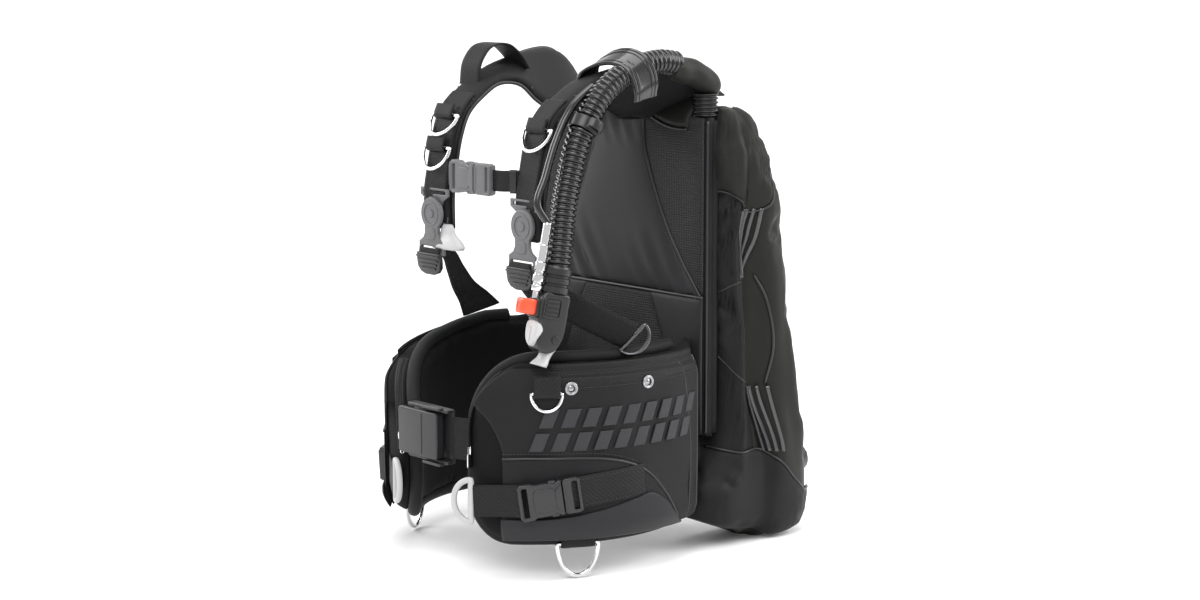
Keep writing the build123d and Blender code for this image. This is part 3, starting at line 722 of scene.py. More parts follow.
def lobe_patch(name, side, front, rear, top, bottom, radius, thickness, rows=40, columns=70, rim=0.04):
    """Sheet on a lobe; edges and radius are functions of height or angle."""
    share = np.linspace(0, 1, rows)[:, None]
    across = np.linspace(0, 1, columns)[None]
    angle = front + (rear - front) * across
    low, high = bottom(angle), top(angle)
    height = low + (high - low) * share
    angle = np.broadcast_to(angle, height.shape)
    middle = lobe(side, angle, radius(angle, height), height)
    normal = outward(side, angle)
    thick = thickness * padding(rows, columns, rim, rim, 0.25)
    return slab(name, *turned(side, middle, normal, thick))


def curve_value(x, known, values):
    """Smooth curve through known values."""
    known, values = np.asarray(known, float), np.asarray(values, float)
    order = np.argsort(known)
    known, values = known[order], values[order]
    x = np.clip(np.asarray(x, float), known[0], known[-1])
    slope = np.gradient(values, known)
    seg = np.clip(np.searchsorted(known, x, side="right") - 1, 0, len(known) - 2)
    width = known[seg + 1] - known[seg]
    t = (x - known[seg]) / width
    return (
        (2 * t**3 - 3 * t**2 + 1) * values[seg]
        + (t**3 - 2 * t**2 + t) * width * slope[seg]
        + (-2 * t**3 + 3 * t**2) * values[seg + 1]
        + (t**3 - t**2) * width * slope[seg + 1]
    )


# ---------------------------------------------------------------- air cell
WING_TOP, WING_BASE = 250.0, -289.0
# Control points round the air cell's section: u counts them.
WING_POINTS = 14
# Height, front edge, rear edge, front bulge, valley depth, side bulge and where the valley lies.
WING_STATIONS = np.array([
    (250, -124, -100, 162, 0, 158, 0.45),
    (236, -125, -91, 167, 0, 168, 0.42),
    (210, -126, -79, 171, 0, 178, 0.40),
    (180, -127, -64, 173, 1, 183, 0.38),
    (148, -127, -52, 171, 4, 185, 0.36),
    (100, -127, -43, 166, 9, 185, 0.34),
    (35, -127, -34, 165, 10, 184, 0.34),
    (-35, -127, -22, 166, 8, 184, 0.34),
    (-98, -129, -11, 168, 9, 184, 0.36),
    (-150, -134, -1, 172, 6, 186, 0.44),
    (-190, -148, 4, 175, 3, 186, 0.48),
    (-235, -172, 9, 177, 0, 185, 0.50),
    (-289, -172, 11, 176, 0, 183, 0.50),
])


def wing_base(y):
    """Height of the air cell's lower edge at each depth."""
    return np.interp(y, (-198, -111, -57, -10, 10), (-246, -278, -289, -281, -262))


def wing_point(side, u, z):
    """Point on the air cell: u runs round it from the inner front, z is the nominal height."""
    u, z = np.broadcast_arrays(np.asarray(u, float), np.asarray(z, float))
    field = [curve_value(z, WING_STATIONS[:, 0], WING_STATIONS[:, i]) for i in range(1, 7)]
    front, rear, near, valley, far, where = field
    depth = rear - front
    loop_x = [102, 126, 149, near - 6, near, near - 3 - valley, far - 3]
    loop_x += [far, far - 1, far - 10, 150, 116, 102, 99]
    loop_y = [0.08, 0.0, 0.0, 0.08, 0.2, 0, 0.62, 0.76, 0.9, 1.0, 1.03, 0.97, 0.8, 0.4]
    count = WING_POINTS
    xs = np.stack([np.broadcast_to(v, u.shape) for v in loop_x])
    ys = np.stack([front + depth * v for v in loop_y])
    ys[5] = front + depth * where
    whole = np.floor(u).astype(int)
    t = u - whole

    def pick(values, shift):
        """Values of the control point shift places on."""
        return np.take_along_axis(values, ((whole + shift) % count)[None], axis=0)[0]

    def blend_round(values):
        """Smooth closed curve through the control points."""
        a, b, c, d = (pick(values, k) for k in (-1, 0, 1, 2))
        return b + 0.5 * t * (c - a + t * (2 * a - 5 * b + 4 * c - d + t * (3 * (b - c) + d - a)))

    x, y = blend_round(xs), blend_round(ys)
    low_part = np.clip((-150 - z) / (-150 - WING_BASE), 0, 1)
    height = z + low_part * (wing_base(y) - WING_BASE)
    top_end = np.clip((WING_TOP - z) / 16, 0, 1)
    base_end = np.clip((z - WING_BASE) / 13, 0, 1)
    close = np.sqrt(1 - (1 - top_end) ** 2) * np.sqrt(1 - (1 - base_end) ** 2)
    middle_y = front + 0.5 * depth
    x = 142 + (x - 142) * (0.08 + 0.92 * close)
    y = middle_y + (y - middle_y) * (0.12 + 0.88 * close)
    return np.stack([side * x, y, height], axis=-1)


def wing_normal(side, u, z):
    """Outward direction of the air cell's surface."""
    du = wing_point(side, u + 0.05, z) - wing_point(side, u - 0.05, z)
    dz = wing_point(side, u, z + 1.0) - wing_point(side, u, z - 1.0)
    return unit(np.cross(du, dz)) * side


def wing_patch(name, side, first, last, top, bottom, lift, thickness, rows=36, columns=60):
    """Fabric panel lying on the air cell between two curved edges."""
    share = np.linspace(0, 1, rows)[:, None]
    u = first + (last - first) * np.linspace(0, 1, columns)[None]
    z = bottom(u) + (top(u) - bottom(u)) * share
    u = np.broadcast_to(u, z.shape)
    normal = wing_normal(side, u, z)
    swell = np.outer(rim_profile(rows, 0.5), rim_profile(columns, 0.3))[..., None]
    middle = wing_point(side, u, z) + normal * (lift * (0.3 + 0.7 * swell))
    thick = thickness * padding(rows, columns, 0.06, 0.04)
    return slab(name, *turned(side, middle, normal, thick))


def wing_line(side, us, zs, lift, count=40):
    """Path along the air cell's surface."""
    t = np.linspace(0, 1, count)
    u = curve_value(t * (len(us) - 1), range(len(us)), us)
    z = curve_value(t * (len(zs) - 1), range(len(zs)), zs)
    return wing_point(side, u, z) + wing_normal(side, u, z) * lift


def boot_hem(u):
    """Pointed lower edge of the shoulder panel of the air cell."""
    return curve_value(u, (1.5, 3, 4, 5, 6, 7, 8, 9), (152, 146, 136, 124, 130, 158, 190, 222))


def foot_hem(u):
    """Upper edge of the bottom panel of the air cell."""
    return curve_value(u, (1.5, 3, 4, 5, 6, 7, 8, 9.4), (-168, -171, -173, -176, -190, -214, -236, -256))


def build_wing(side, word):
    """One side of the air cell with its panels, piping and gathering elastics."""
    shift = build_air_cell(side, word)
    build_cell_panels(side, word, shift)
    build_cell_piping(side, word, shift)
    build_cell_elastics(side, word, shift)


def build_air_cell(side, word):
    """Puffed and folded shell of one side; returns how its points were moved."""
    rows = 110
    z = WING_BASE + (WING_TOP - WING_BASE) * (1 - np.cos(np.linspace(0, np.pi, rows))) / 2
    u = np.linspace(0, WING_POINTS, 112, endpoint=False)
    grid = wing_point(side, u[None], z[:, None])
    faces = capped_faces(*grid.shape[:2])
    grid = turned(side, grid)[0]
    cell = new_mesh(f"{word}_air_cell", grid.reshape(-1, 3), faces)
    shift = puff(cell, 4.0, 6.0, 5.0, still=lambda p: np.abs(p[:, 0]) < 108)
    points, normals = get_points(cell), get_normals(cell)
    rear = np.clip((np.abs(points[:, 0]) - 150) / 25, 0, 1) * np.clip((points[:, 1] + 105) / 25, 0, 1)
    points = folds(points, normals, rear, (0, 0.35, 1), 95, 1.6, 3 + side)
    points = folds(points, normals, rear, (0, 1, 0.1), 34, 0.9, 5 + side)
    set_points(cell, points)
    finish_piece(cell, "wing_nylon", "harness", ("air_cell_shell", "air_bladder"))
    return shift


def build_cell_panels(side, word, shift):
    """Shoulder, front and bottom panels sewn over the cell."""
    boot = wing_patch(f"{word}_cell_shoulder", side, 1.6, 8.6, level(247), boot_hem, 4.5, 3.0)
    top, base = (lambda u: boot_hem(u) + 4), (lambda u: foot_hem(u) - 3)
    front = wing_patch(f"{word}_cell_front", side, 1.4, 4.7, top, base, 1.8, 1.6, 80, 40)
    foot = wing_patch(f"{word}_cell_foot", side, 1.4, 9.2, foot_hem, level(-283), 4.0, 3.0)
    # The front and bottom panels take the darker copy of the wing fabric, painted shade where they lie in
    # shadow.
    for panel, look in ((boot, "wing_nylon"), (front, "wing_nylon_painted_shade"), (foot, "wing_nylon_painted_shade")):
        follow(panel, shift)
        finish_piece(panel, look, "harness", "air_cell_shell", "wing_nylon")


def build_cell_piping(side, word, shift):
    """Piping along the hems and seams of the cell."""
    boot_us, foot_us = (1.8, 3, 4, 5, 6, 7, 8), (1.8, 3, 4, 5, 6, 7, 8, 9)
    lines = [
        tube("boot_edge", wing_line(side, boot_us, [boot_hem(v) for v in boot_us], 3.4), 1.3),
        tube("foot_edge", wing_line(side, foot_us, [foot_hem(v) for v in foot_us], 3.2), 1.4),
        tube("mid_edge", wing_line(side, (5.5, 5.8, 5.9, 5.6), (44, 10, -40, -92), 1.6), 2.0),
        tube("fold_edge", wing_line(side, (4.2, 4.3, 4.4, 4.5), (42, 0, -50, -95), 2.2), 1.1),
        tube("low_cord", wing_line(side, (2.0, 3.2, 4.7), (26, 33, 42), 2.6), 1.0),
        tube("high_cord", wing_line(side, (2.0, 3.2, 4.7), (-54, -74, -97), 2.6), 1.0),
    ]
    piping = join(f"{word}_cell_piping", lines)
    follow(piping, shift)
    finish_piece(piping, "piping", "harness", "air_cell_shell", "wing_nylon")


def build_cell_elastics(side, word, shift):
    """Two groups of elastic cords that gather the cell."""
    cords = []
    for group, (top, low) in enumerate(((128, 42), (-95, -178))):
        for step in range(4):
            start = (5.0 + 0.24 * step) if group == 0 else (4.75 + 0.3 * step)
            lean = -0.75 if group == 0 else 0.45
            us, zs = (start, start + 0.3 * lean, start + lean), (top, (top + low) / 2, low)
            upright = wing_normal(side, np.full(24, start), np.linspace(top, low, 24))
            cords.append(strap("cord", wing_line(side, us, zs, 3.6, 24), upright, 2.6, 4.4))
    elastics = join(f"{word}_cell_elastics", cords)
    follow(elastics, shift)
    finish_piece(elastics, "elastic", "harness", "air_cell_shell", "wing_nylon")


def build_wing_bridge():
    """The part of the air cell that joins both sides behind the shoulders."""
    across = np.linspace(-1, 1, 61)
    turn = full_turn(28)
    x = 112 * across
    middle_z = 217 + 14 * (1 - across**2)
    rings = np.stack([
        x[:, None] + 0 * turn,
        -112 + 11 * np.cos(turn)[None] + 0 * x[:, None],
        middle_z[:, None] + 19 * np.sin(turn)[None],
    ], axis=-1)
    bridge = new_mesh("air_cell_bridge", rings.reshape(-1, 3), capped_faces(*rings.shape[:2]))
    finish_piece(bridge, "wing_nylon", "harness", "air_cell_shell")


# ---------------------------------------------------------------- back pad
PAD_Y = -151.0


def hourglass(z):
    """Half width of the smooth centre panel of the back pad."""
    return curve_value(z, (246, 200, 175, 134, 99, 60, 21), (44, 47, 55, 72, 90, 116, 147))


def pad_panel(name, left, right, low, high, front, swell, thickness, rows=60, columns=60):
    """Upright panel on the back pad; edges are functions of height."""
    z = np.linspace(low, high, rows)[:, None]
    share = np.linspace(0, 1, columns)[None]
    x = left(z) + (right(z) - left(z)) * share
    rise = swell * np.outer(rim_profile(rows, 0.45), rim_profile(columns, 0.4))
    middle = np.stack([x, front - rise, np.broadcast_to(z, x.shape)], axis=-1)
    normal = -unit(np.cross(np.gradient(middle, axis=0), np.gradient(middle, axis=1)))
    normal *= -np.sign(normal[..., 1:2])
    return slab(name, middle[:, ::-1], normal[:, ::-1], thickness * padding(rows, columns, 0.04, 0.04))


def lumbar_half(z):
    """Half width of the lumbar pad, wider towards its foot."""
    return 60 + (20 - z) * 0.45


def build_back_pad():
    """Padded back: base, centre panel, mesh sides and lumbar pad."""
    build_pad_base()
    build_pad_centre()
    build_pad_sides()
    build_lumbar()


def build_pad_base():
    """Padded base with a roll along each upright edge."""
    base = pad_panel("back_pad_base", level(-151), level(151), -154, 240, -138, 0, 23)
    rear = np.array([(147, -131, z) for z in np.linspace(-150, 236, 30)])
    rolls = [tube("roll", rear * (side, 1, 1), 6.0) for side, _ in SIDES]
    base = join("back_pad_base", [base] + rolls)
    finish_piece(base, "nylon", "harness", "back_pad")


def build_pad_centre():
    """Smooth centre panel with its wrinkles."""
    centre = pad_panel("back_pad_centre", lambda z: -hourglass(z), hourglass, 22, 246, PAD_Y, 6, 4, 90, 90)
    points, normals = get_points(centre), get_normals(centre)
    lower = np.clip((120 - points[:, 2]) / 60, 0, 1) * np.clip((np.abs(points[:, 0]) - 10) / 50, 0, 1)
    upper = np.clip((points[:, 2] - 190) / 40, 0, 1)
    points = folds(points, normals, lower, (1, 0, 0.55), 30, 1.5, 11)
    points = folds(points, normals, upper, (1, 0, 0.3), 22, 1.0, 12)
    points = folds(points, normals, np.ones(len(points)), (0.4, 0, 1), 120, 1.2, 13)
    set_points(centre, points)
    finish_piece(centre, "nylon_soft", "harness", "back_pad", "nylon")


def build_pad_sides():
    """Mesh panel, piping and stitching on each side of the centre panel."""
    for side, word in SIDES:
        edges = (lambda z: hourglass(z) - 1, level(149))
        if side < 0:
            edges = (level(-149), lambda z: -hourglass(z) + 1)
        sheet = pad_panel(f"{word}_pad_mesh", *edges, 24, 240, PAD_Y + 1, 2.5, 3)
        finish_piece(sheet, "mesh", "harness", "back_pad", "nylon")
        seam_z = np.linspace(20, 244, 60)
        border = np.stack([side * hourglass(seam_z), PAD_Y - 1.6 + 0 * seam_z, seam_z], axis=1)
        edge_z = np.linspace(-150, 236, 90)
        edge = np.stack([side * (151 + 0 * edge_z), PAD_Y + 5 + 0 * edge_z, edge_z], axis=1)
        lines = join(f"{word}_pad_piping", [tube("border", border, 1.8), tube("edge", edge, 2.0)])
        finish_piece(lines, "piping", "harness", "back_pad", "nylon")
        inner = border + np.array([side * -4.0, -2.6, 0])
        row = stitches(f"{word}_pad_stitches", inner, (0, -1, 0), 2.4, 1.6, 0.35)
        finish_piece(row, "thread", "harness", "back_pad", "nylon")


def build_lumbar():
    """Lumbar pad, its smooth ends and the seam above it."""
    lumbar = pad_panel("lumbar_centre", lambda z: -lumbar_half(z), lumbar_half, -150, 18, PAD_Y - 1, 6, 5)
    finish_piece(lumbar, "mesh", "harness", "back_pad", "nylon")
    for side, word in SIDES:
        edges = (lambda z: lumbar_half(z) - 2, level(150))
        if side < 0:
            edges = (level(-150), lambda z: 2 - lumbar_half(z))
        wingtip = pad_panel(f"{word}_lumbar_side", *edges, -150, 19, PAD_Y - 1, 4, 4)
        finish_piece(wingtip, "nylon_soft", "harness", "back_pad", "nylon")
    seam_x = np.linspace(-150, 150, 80)
    waist = np.stack([seam_x, PAD_Y - 1.5 + 0 * seam_x, 20 + 0 * seam_x], axis=1)
    finish_piece(tube("waist_seam", waist, 2.2), "piping", "harness", "back_pad", "nylon")


# ---------------------------------------------------------------- shoulders
# Inner and outer edges of the left shoulder strap from the yoke down to its free end.
STRAP_INNER = [
    (50, -150, 236), (55, -178, 236), (58, -212, 240), (60, -238, 254),
    (63, -264, 275), (66, -292, 277), (66, -318, 263), (65, -341, 244),
    (64, -355, 214), (64, -362, 182), (64, -367, 152), (66, -366, 104),
]
STRAP_OUTER = [
    (128, -118, 262), (126, -130, 284), (121, -158, 302), (118, -196, 306),
    (116, -240, 301), (114, -285, 286), (113, -322, 265), (112, -348, 244),
    (112, -358, 214), (112, -366, 180), (112, -372, 150), (110, -372, 104),
]
STRAP_PAD = 11.0


def strap_grid(side, rows=90, columns=24):
    """Middle points and outward directions of a shoulder strap."""
    inner, outer = smooth_path(STRAP_INNER, rows), smooth_path(STRAP_OUTER, rows)
    share = np.linspace(0, 1, columns)[None, :, None]
    middle = inner[:, None] * (1 - share) + outer[:, None] * share
    normal = grid_normals(middle)
    normal *= np.sign(np.sum(normal * (0, -0.5, 1), axis=-1, keepdims=True))
    crown = rim_profile(columns, 0.5)[None, :, None]
    middle = middle + normal * 3.0 * crown
    if side < 0:
        rise = 10 * np.exp(-(((middle[..., 1] + 170) / 60) ** 2))
        middle[..., 2] += rise * share[..., 0]
    return middle * (side, 1, 1), normal * (side, 1, 1)


def strap_line(side, share, lift, first=0.0, last=1.0, count=60):
    """Path along a shoulder strap at a share of its width, with its outward direction."""
    middle, normal = strap_grid(side)
    column = share * (middle.shape[1] - 1)
    j = min(int(column), middle.shape[1] - 2)
    t = column - j
    path = middle[:, j] * (1 - t) + middle[:, j + 1] * t
    facing = normal[:, j] * (1 - t) + normal[:, j + 1] * t
    rows = np.linspace(first, last, count) * (len(path) - 1)
    index = np.arange(len(path))
    path = np.stack([np.interp(rows, index, path[:, i]) for i in range(3)], axis=1)
    facing = unit(np.stack([np.interp(rows, index, facing[:, i]) for i in range(3)], axis=1))
    return path + facing * lift, facing


def build_strap(side, word):
    """Padded shoulder strap with bound edges, its webbing and stitching."""
    middle, normal = strap_grid(side)
    rows, columns = middle.shape[:2]
    thick = STRAP_PAD * padding(rows, columns, 0.03, 0.18, 0.35)
    pad = slab(f"{word}_shoulder_strap", *turned(side, middle, normal, thick))
    puff(pad, 3.0, 2.0, 4.0)
    finish_piece(pad, "nylon", "harness", "shoulder_harness")
    edges = [tube("edge", strap_line(side, share, 0.5)[0], 2.2, 10) for share in (0.0, 1.0)]
    finish_piece(join(f"{word}_strap_binding", edges), "piping", "harness", "shoulder_harness", "nylon")
    path, facing = strap_line(side, 0.46, STRAP_PAD / 2 + 1.2, 0.56, 0.90)
    band = strap(f"{word}_strap_webbing", path, np.cross(facing, np.gradient(path, axis=0)), 40, 2.4)
    finish_piece(band, "webbing", "harness", "shoulder_webbing")
    rows_of_thread = []
    for shift in (-16.5, 16.5):
        sideways = unit(np.cross(np.gradient(path, axis=0), facing))
        rows_of_thread.append(stitches("row", path + sideways * shift + facing * 1.4, facing, 2.6, 1.6, 0.4))
    for share in (0.12, 0.88):
        line, up = strap_line(side, share, STRAP_PAD / 2 - 0.2, 0.12, 0.97)
        rows_of_thread.append(stitches("row", line, up, 2.6, 1.8, 0.4))
    thread = join(f"{word}_strap_stitches", rows_of_thread)
    finish_piece(thread, "thread", "harness", ("shoulder_harness", "shoulder_webbing"), "nylon")
    seams = []
    for share in (0.30, 0.555):
        line = []
        for across in np.linspace(0.02, 0.98, 14):
            line.append(strap_line(side, across, STRAP_PAD / 2 - 0.3, share, share + 0.001, 2)[0][0])
        seams.append(tube("seam", line, 1.2, 8))
    finish_piece(join(f"{word}_strap_seams", seams), "piping", "harness", "shoulder_harness", "nylon")


def build_yoke():
    """Shoulder yoke between both straps and over the top of the back pad."""
    x = np.linspace(-124, 124, 91)
    away = np.abs(x)
    low = curve_value(away, (0, 20, 46, 66, 86, 118, 150, 162), (252, 252, 249, 238, 230, 226, 230, 236))
    high = curve_value(away, (0, 40, 70, 100, 130, 150, 162), (262, 264, 270, 272, 268, 258, 250))
    rows = []
    for share in np.linspace(0, 1, 24):
        y = -156 + 62 * share**1.4 + 10 * (away / 162) ** 4
        z = low + (high - low) * math.sin(share * math.pi / 2) ** 0.9 - 6 * max(0, share - 0.75) * 4
        rows.append(np.stack([x, y, z], axis=1))
    middle = np.array(rows)
    normal = grid_normals(middle)
    normal *= np.sign(np.sum(normal * (0, -1, 1), axis=-1, keepdims=True))
    thick = 9 * padding(24, 91, 0.12, 0.04)
    yoke = slab("shoulder_yoke", middle[:, ::-1], normal[:, ::-1], thick)
    finish_piece(yoke, "wing_nylon", "harness", "shoulder_harness", "nylon")
    edge = np.stack([x, -158 + 10 * (away / 162) ** 4, low - 1], axis=1)
    finish_piece(tube("yoke_piping", edge, 1.8), "piping", "harness", "shoulder_harness", "nylon")
    row = stitches("yoke_stitches", edge + np.array([0, -2.0, 7]), (0, -1, 0.3), 2.6, 1.8, 0.4)
    finish_piece(row, "thread", "harness", "shoulder_harness", "nylon")


def build_hose_loop():
    """Wide ridged loop that holds the hose on the left shoulder."""
    arch = smooth_path([
        (76, -276, 288), (82, -275, 300), (98, -270, 312), (118, -264, 317), (136, -259, 314),
        (148, -256, 305), (154, -254, 293), (156, -253, 280), (153, -251, 268),
    ], 90)
    along = unit((-0.06, -0.86, -0.44))
    body = strap("hose_loop_band", arch, along, 36, 2.6)
    ahead = unit(np.gradient(arch, axis=0))
    across = unit(along - ahead * (ahead @ along)[:, None])
    ridges = [strap("ridge", arch + across * shift, along, 4.5, 4.4) for shift in (-15, -10, 10, 15)]
    loop = join("hose_loop", [body] + ridges)
    finish_piece(loop, "rubber", "harness", "shoulder_loops", "nylon")


def build_right_loop():
    """Narrow webbing loop on the right shoulder."""
    path = smooth_path([
        (-90, -238, 292), (-92, -250, 310), (-96, -268, 324),
        (-98, -292, 322), (-99, -308, 304), (-98, -314, 276),
    ], 50)
    side_loop = strap("right_shoulder_loop", path, (1, 0.1, 0), 34, 2.8)
    finish_piece(side_loop, "webbing", "harness", "shoulder_loops", "nylon")


def build_elbow():
    """Fabric cover over the shoulder elbow and the ribbed collar under it."""
    route = smooth_path([
        (130, -188, 302), (131, -168, 298), (132, -149, 292),
        (133, -135, 285), (134, -127, 276), (134, -124, 266),
    ], 50)
    radius = curve_value(np.linspace(0, 1, 50), (0, 0.12, 0.4, 0.7, 0.88, 1), (14, 15.5, 16, 16, 14.5, 10))
    cover = tube("elbow_cover", route, radius, 28)
    points, normals = get_points(cover), get_normals(cover)
    set_points(cover, folds(points, normals, np.ones(len(points)), (0, 0.8, 0.4), 26, 0.9, 21))
    finish_piece(cover, "wing_nylon", "harness", ("shoulder_loops", "shoulder_elbow"), "nylon")
    collar_z = np.linspace(240, 268, 60)
    ribs = 14.5 + 1.3 * np.sin(collar_z * 1.25)
    collar = tube("elbow_collar", [(135, -134, z) for z in collar_z], ribs, 28)
    finish_piece(collar, "black_plastic", "harness", "shoulder_elbow")


def build_right_dump():
    """Cap of the dump valve on the right shoulder."""
    band = [
        tube("cap", [(-135, -112, z) for z in (250, 251, 257, 258)], [21, 22.5, 22.5, 21], 40),
        tube("top", [(-135, -112, z) for z in (257, 264, 266)], [18.5, 18.5, 16.5], 40),
    ]
    finish_piece(join("right_dump_cover", band), "black_plastic", "harness", "right_dump_valve")


build_wing(1, "left")
build_wing(-1, "right")
build_wing_bridge()
build_back_pad()
for side, word in SIDES:
    build_strap(side, word)
build_yoke()
build_hose_loop()
build_right_loop()
build_elbow()
build_right_dump()


# ---------------------------------------------------------------- hardware helpers


def local_frame(origin, x_dir, outward_dir):
    """Returns a function that places local millimetre points in the row's frame."""
    origin = np.asarray(origin, float)
    z_axis = unit(outward_dir)
    x_axis = unit(np.asarray(x_dir, float) - z_axis * np.dot(x_dir, z_axis))
    y_axis = np.cross(z_axis, x_axis)

    def place(points):
        """Local to row frame."""
        points = np.asarray(points, float)
        return origin + points[..., :1] * x_axis + points[..., 1:2] * y_axis + points[..., 2:] * z_axis

    return place, x_axis, y_axis, z_axis


def layer(frame, outlines, depth, z, bevel, resolution=3):
    """Moulded layer drawn in a frame's X-Y plane, with its middle at a local height."""
    place, x_axis, _, z_axis = frame
    return plate("layer", outlines, depth, (place([0, 0, z]), x_axis, z_axis), bevel, resolution)


def side_release(name, frame, width, front, back):
    """Both halves of a side-release buckle; returns (socket, plug). X runs from the socket to the plug."""
    half = width / 2
    slot = rounded(6, width - 9, 1.5, (-front + 7.5, 0))
    shell = smooth_edges([
        (-front, half - 4), (-front + 4, half), (-front + 16, half - 0.5), (-front + 19, half - 2.5),
        (-16, half - 2.5), (-10, half - 5), (-3, half - 1), (0, half - 2),
    ])
    crest = smooth_edges([(-9, half * 0.42), (-2, half * 0.72), (-0.5, half * 0.72)])
    socket = [
        layer(frame, [shell, slot], 10, 0, 1.4),
        layer(frame, [rounded(front * 0.5, width * 0.62, 5, (-front * 0.42, 0))], 2.4, 5.2, 0.9),
        layer(frame, [crest], 2.0, 5.4, 0.6),
        layer(frame, [rounded(3.2, width - 5, 1.4, (-front + 2, 0))], 11.5, 0, 1.3),
    ]
    ladder = rounded(6, width - 10, 1.5, (back - 7, 0))
    base = smooth_edges([(1, half - 3), (4, half - 1), (back - 4, half - 1), (back, half - 3)])
    arms = [rounded(9, 4.2, 1.6, (-11, side * (half - 2.6))) for side in (1, -1)]
    wings = [layer(frame, [arm], 6.2, 0, 0.9) for arm in arms]
    plug = [
        layer(frame, [base, ladder], 9, 0, 1.3),
        layer(frame, [rounded(3.4, width - 5, 1.4, (back - 2, 0))], 11, 0, 1.3),
        layer(frame, [rounded(3, width - 10, 1.2, (2.5, 0))], 10.6, 0, 0.9),
    ] + wings
    return join(f"{name}_socket", socket), join(f"{name}_plug", plug)


def smooth_edges(upper):
    """Closed outline from its upper half, mirrored about the local X axis."""
    return [(x, y) for x, y in upper] + [(x, -y) for x, y in reversed(upper)]


def d_ring(name, frame, radius, wire, reach=1.0, bow=0.0):
    """Bent-wire D-ring: straight bar on local X, bow towards -Y, lifted outwards by bow at its lowest."""
    place = frame[0]
    corner = 5.0
    points = []
    for turn in np.linspace(0, np.pi, 40):
        x, y = radius * math.cos(turn), -radius * reach * math.sin(turn)
        points.append((x, y, bow * math.sin(turn) ** 2))
    bar = [(x, 0.6 if abs(x) > radius - corner else 0.0, 0) for x in np.linspace(-radius + 2, radius - 2, 12)]
    return tube(name, place(points + bar), wire, 14, closed=True)


def ring_tab(name, frame, width, tongue, wire=2.6):
    """Webbing folded round a ring's bar, with both ends sewn flat."""
    place, x_axis, _, _ = frame
    radius = wire + 1.6
    fold = [(0, -radius * math.sin(a), radius * math.cos(a)) for a in np.linspace(0, np.pi, 14)]
    path = [(0, tongue, radius), *fold, (0, tongue, -radius)]
    return strap(name, smooth_path(place(path), 40), x_axis, width, 2.0)


# ---------------------------------------------------------------- chest and shoulder hardware


def chest_frame(x, y, z, slope):
    """Frame of a chest ring whose bow hangs down the strap."""
    angle = math.radians(slope)
    down = np.array([0, -math.cos(angle), -math.sin(angle)])
    return local_frame((x, y, z), (1, 0, 0), np.cross((1, 0, 0), -down))


CHEST_RINGS = {
    "left_chest_ring": chest_frame(88, -362, 234, 70),
    "right_chest_ring_upper": chest_frame(-90, -359, 241, 66),
    "right_chest_ring_lower": chest_frame(-90, -372, 202, 76),
}
# How far from the middle the shoulder buckles hang.
CHEST_OUT = 86


def build_chest_rings():
    """Bent chrome rings on the shoulder straps, each in a webbing loop."""
    for name, place in CHEST_RINGS.items():
        ring = d_ring(f"{name}_wire", place, 25, 2.3, 1.1, 5)
        finish_piece(ring, "chrome", name, name)
        tab = ring_tab(f"{name}_tab", place, 34, 13)
        finish_piece(tab, "webbing", "harness", "shoulder_webbing")


def build_sternum():
    """Chest strap and its buckle."""
    frame_here = local_frame((2, -385, 172), (1, 0, 0), (0, -1, 0))
    socket, plug = side_release("sternum", frame_here, 40, 46, 30)
    finish_piece(socket, "grey_plastic", "harness", "sternum_buckle_socket")
    finish_piece(plug, "grey_plastic", "sternum_plug", "sternum_buckle_plug")
    for start, end, word in ((-40, -66, "right"), (26, 66, "left")):
        y_end = -370
        path = smooth_path([(start, -384, 172), ((start + end) / 2, -382.5, 172), (end, y_end, 173)], 40)
        band = strap(f"sternum_webbing_{word}", path, (0, 0, 1), 25, 2.0)
        finish_piece(band, "webbing", "harness", "shoulder_webbing")
    keeper = strap("sternum_keeper", smooth_path([(56, -378, 172), (63, -374, 172)], 12), (0, 0, 1), 28, 3.5)
    finish_piece(keeper, "piping", "harness", "shoulder_webbing", "webbing")


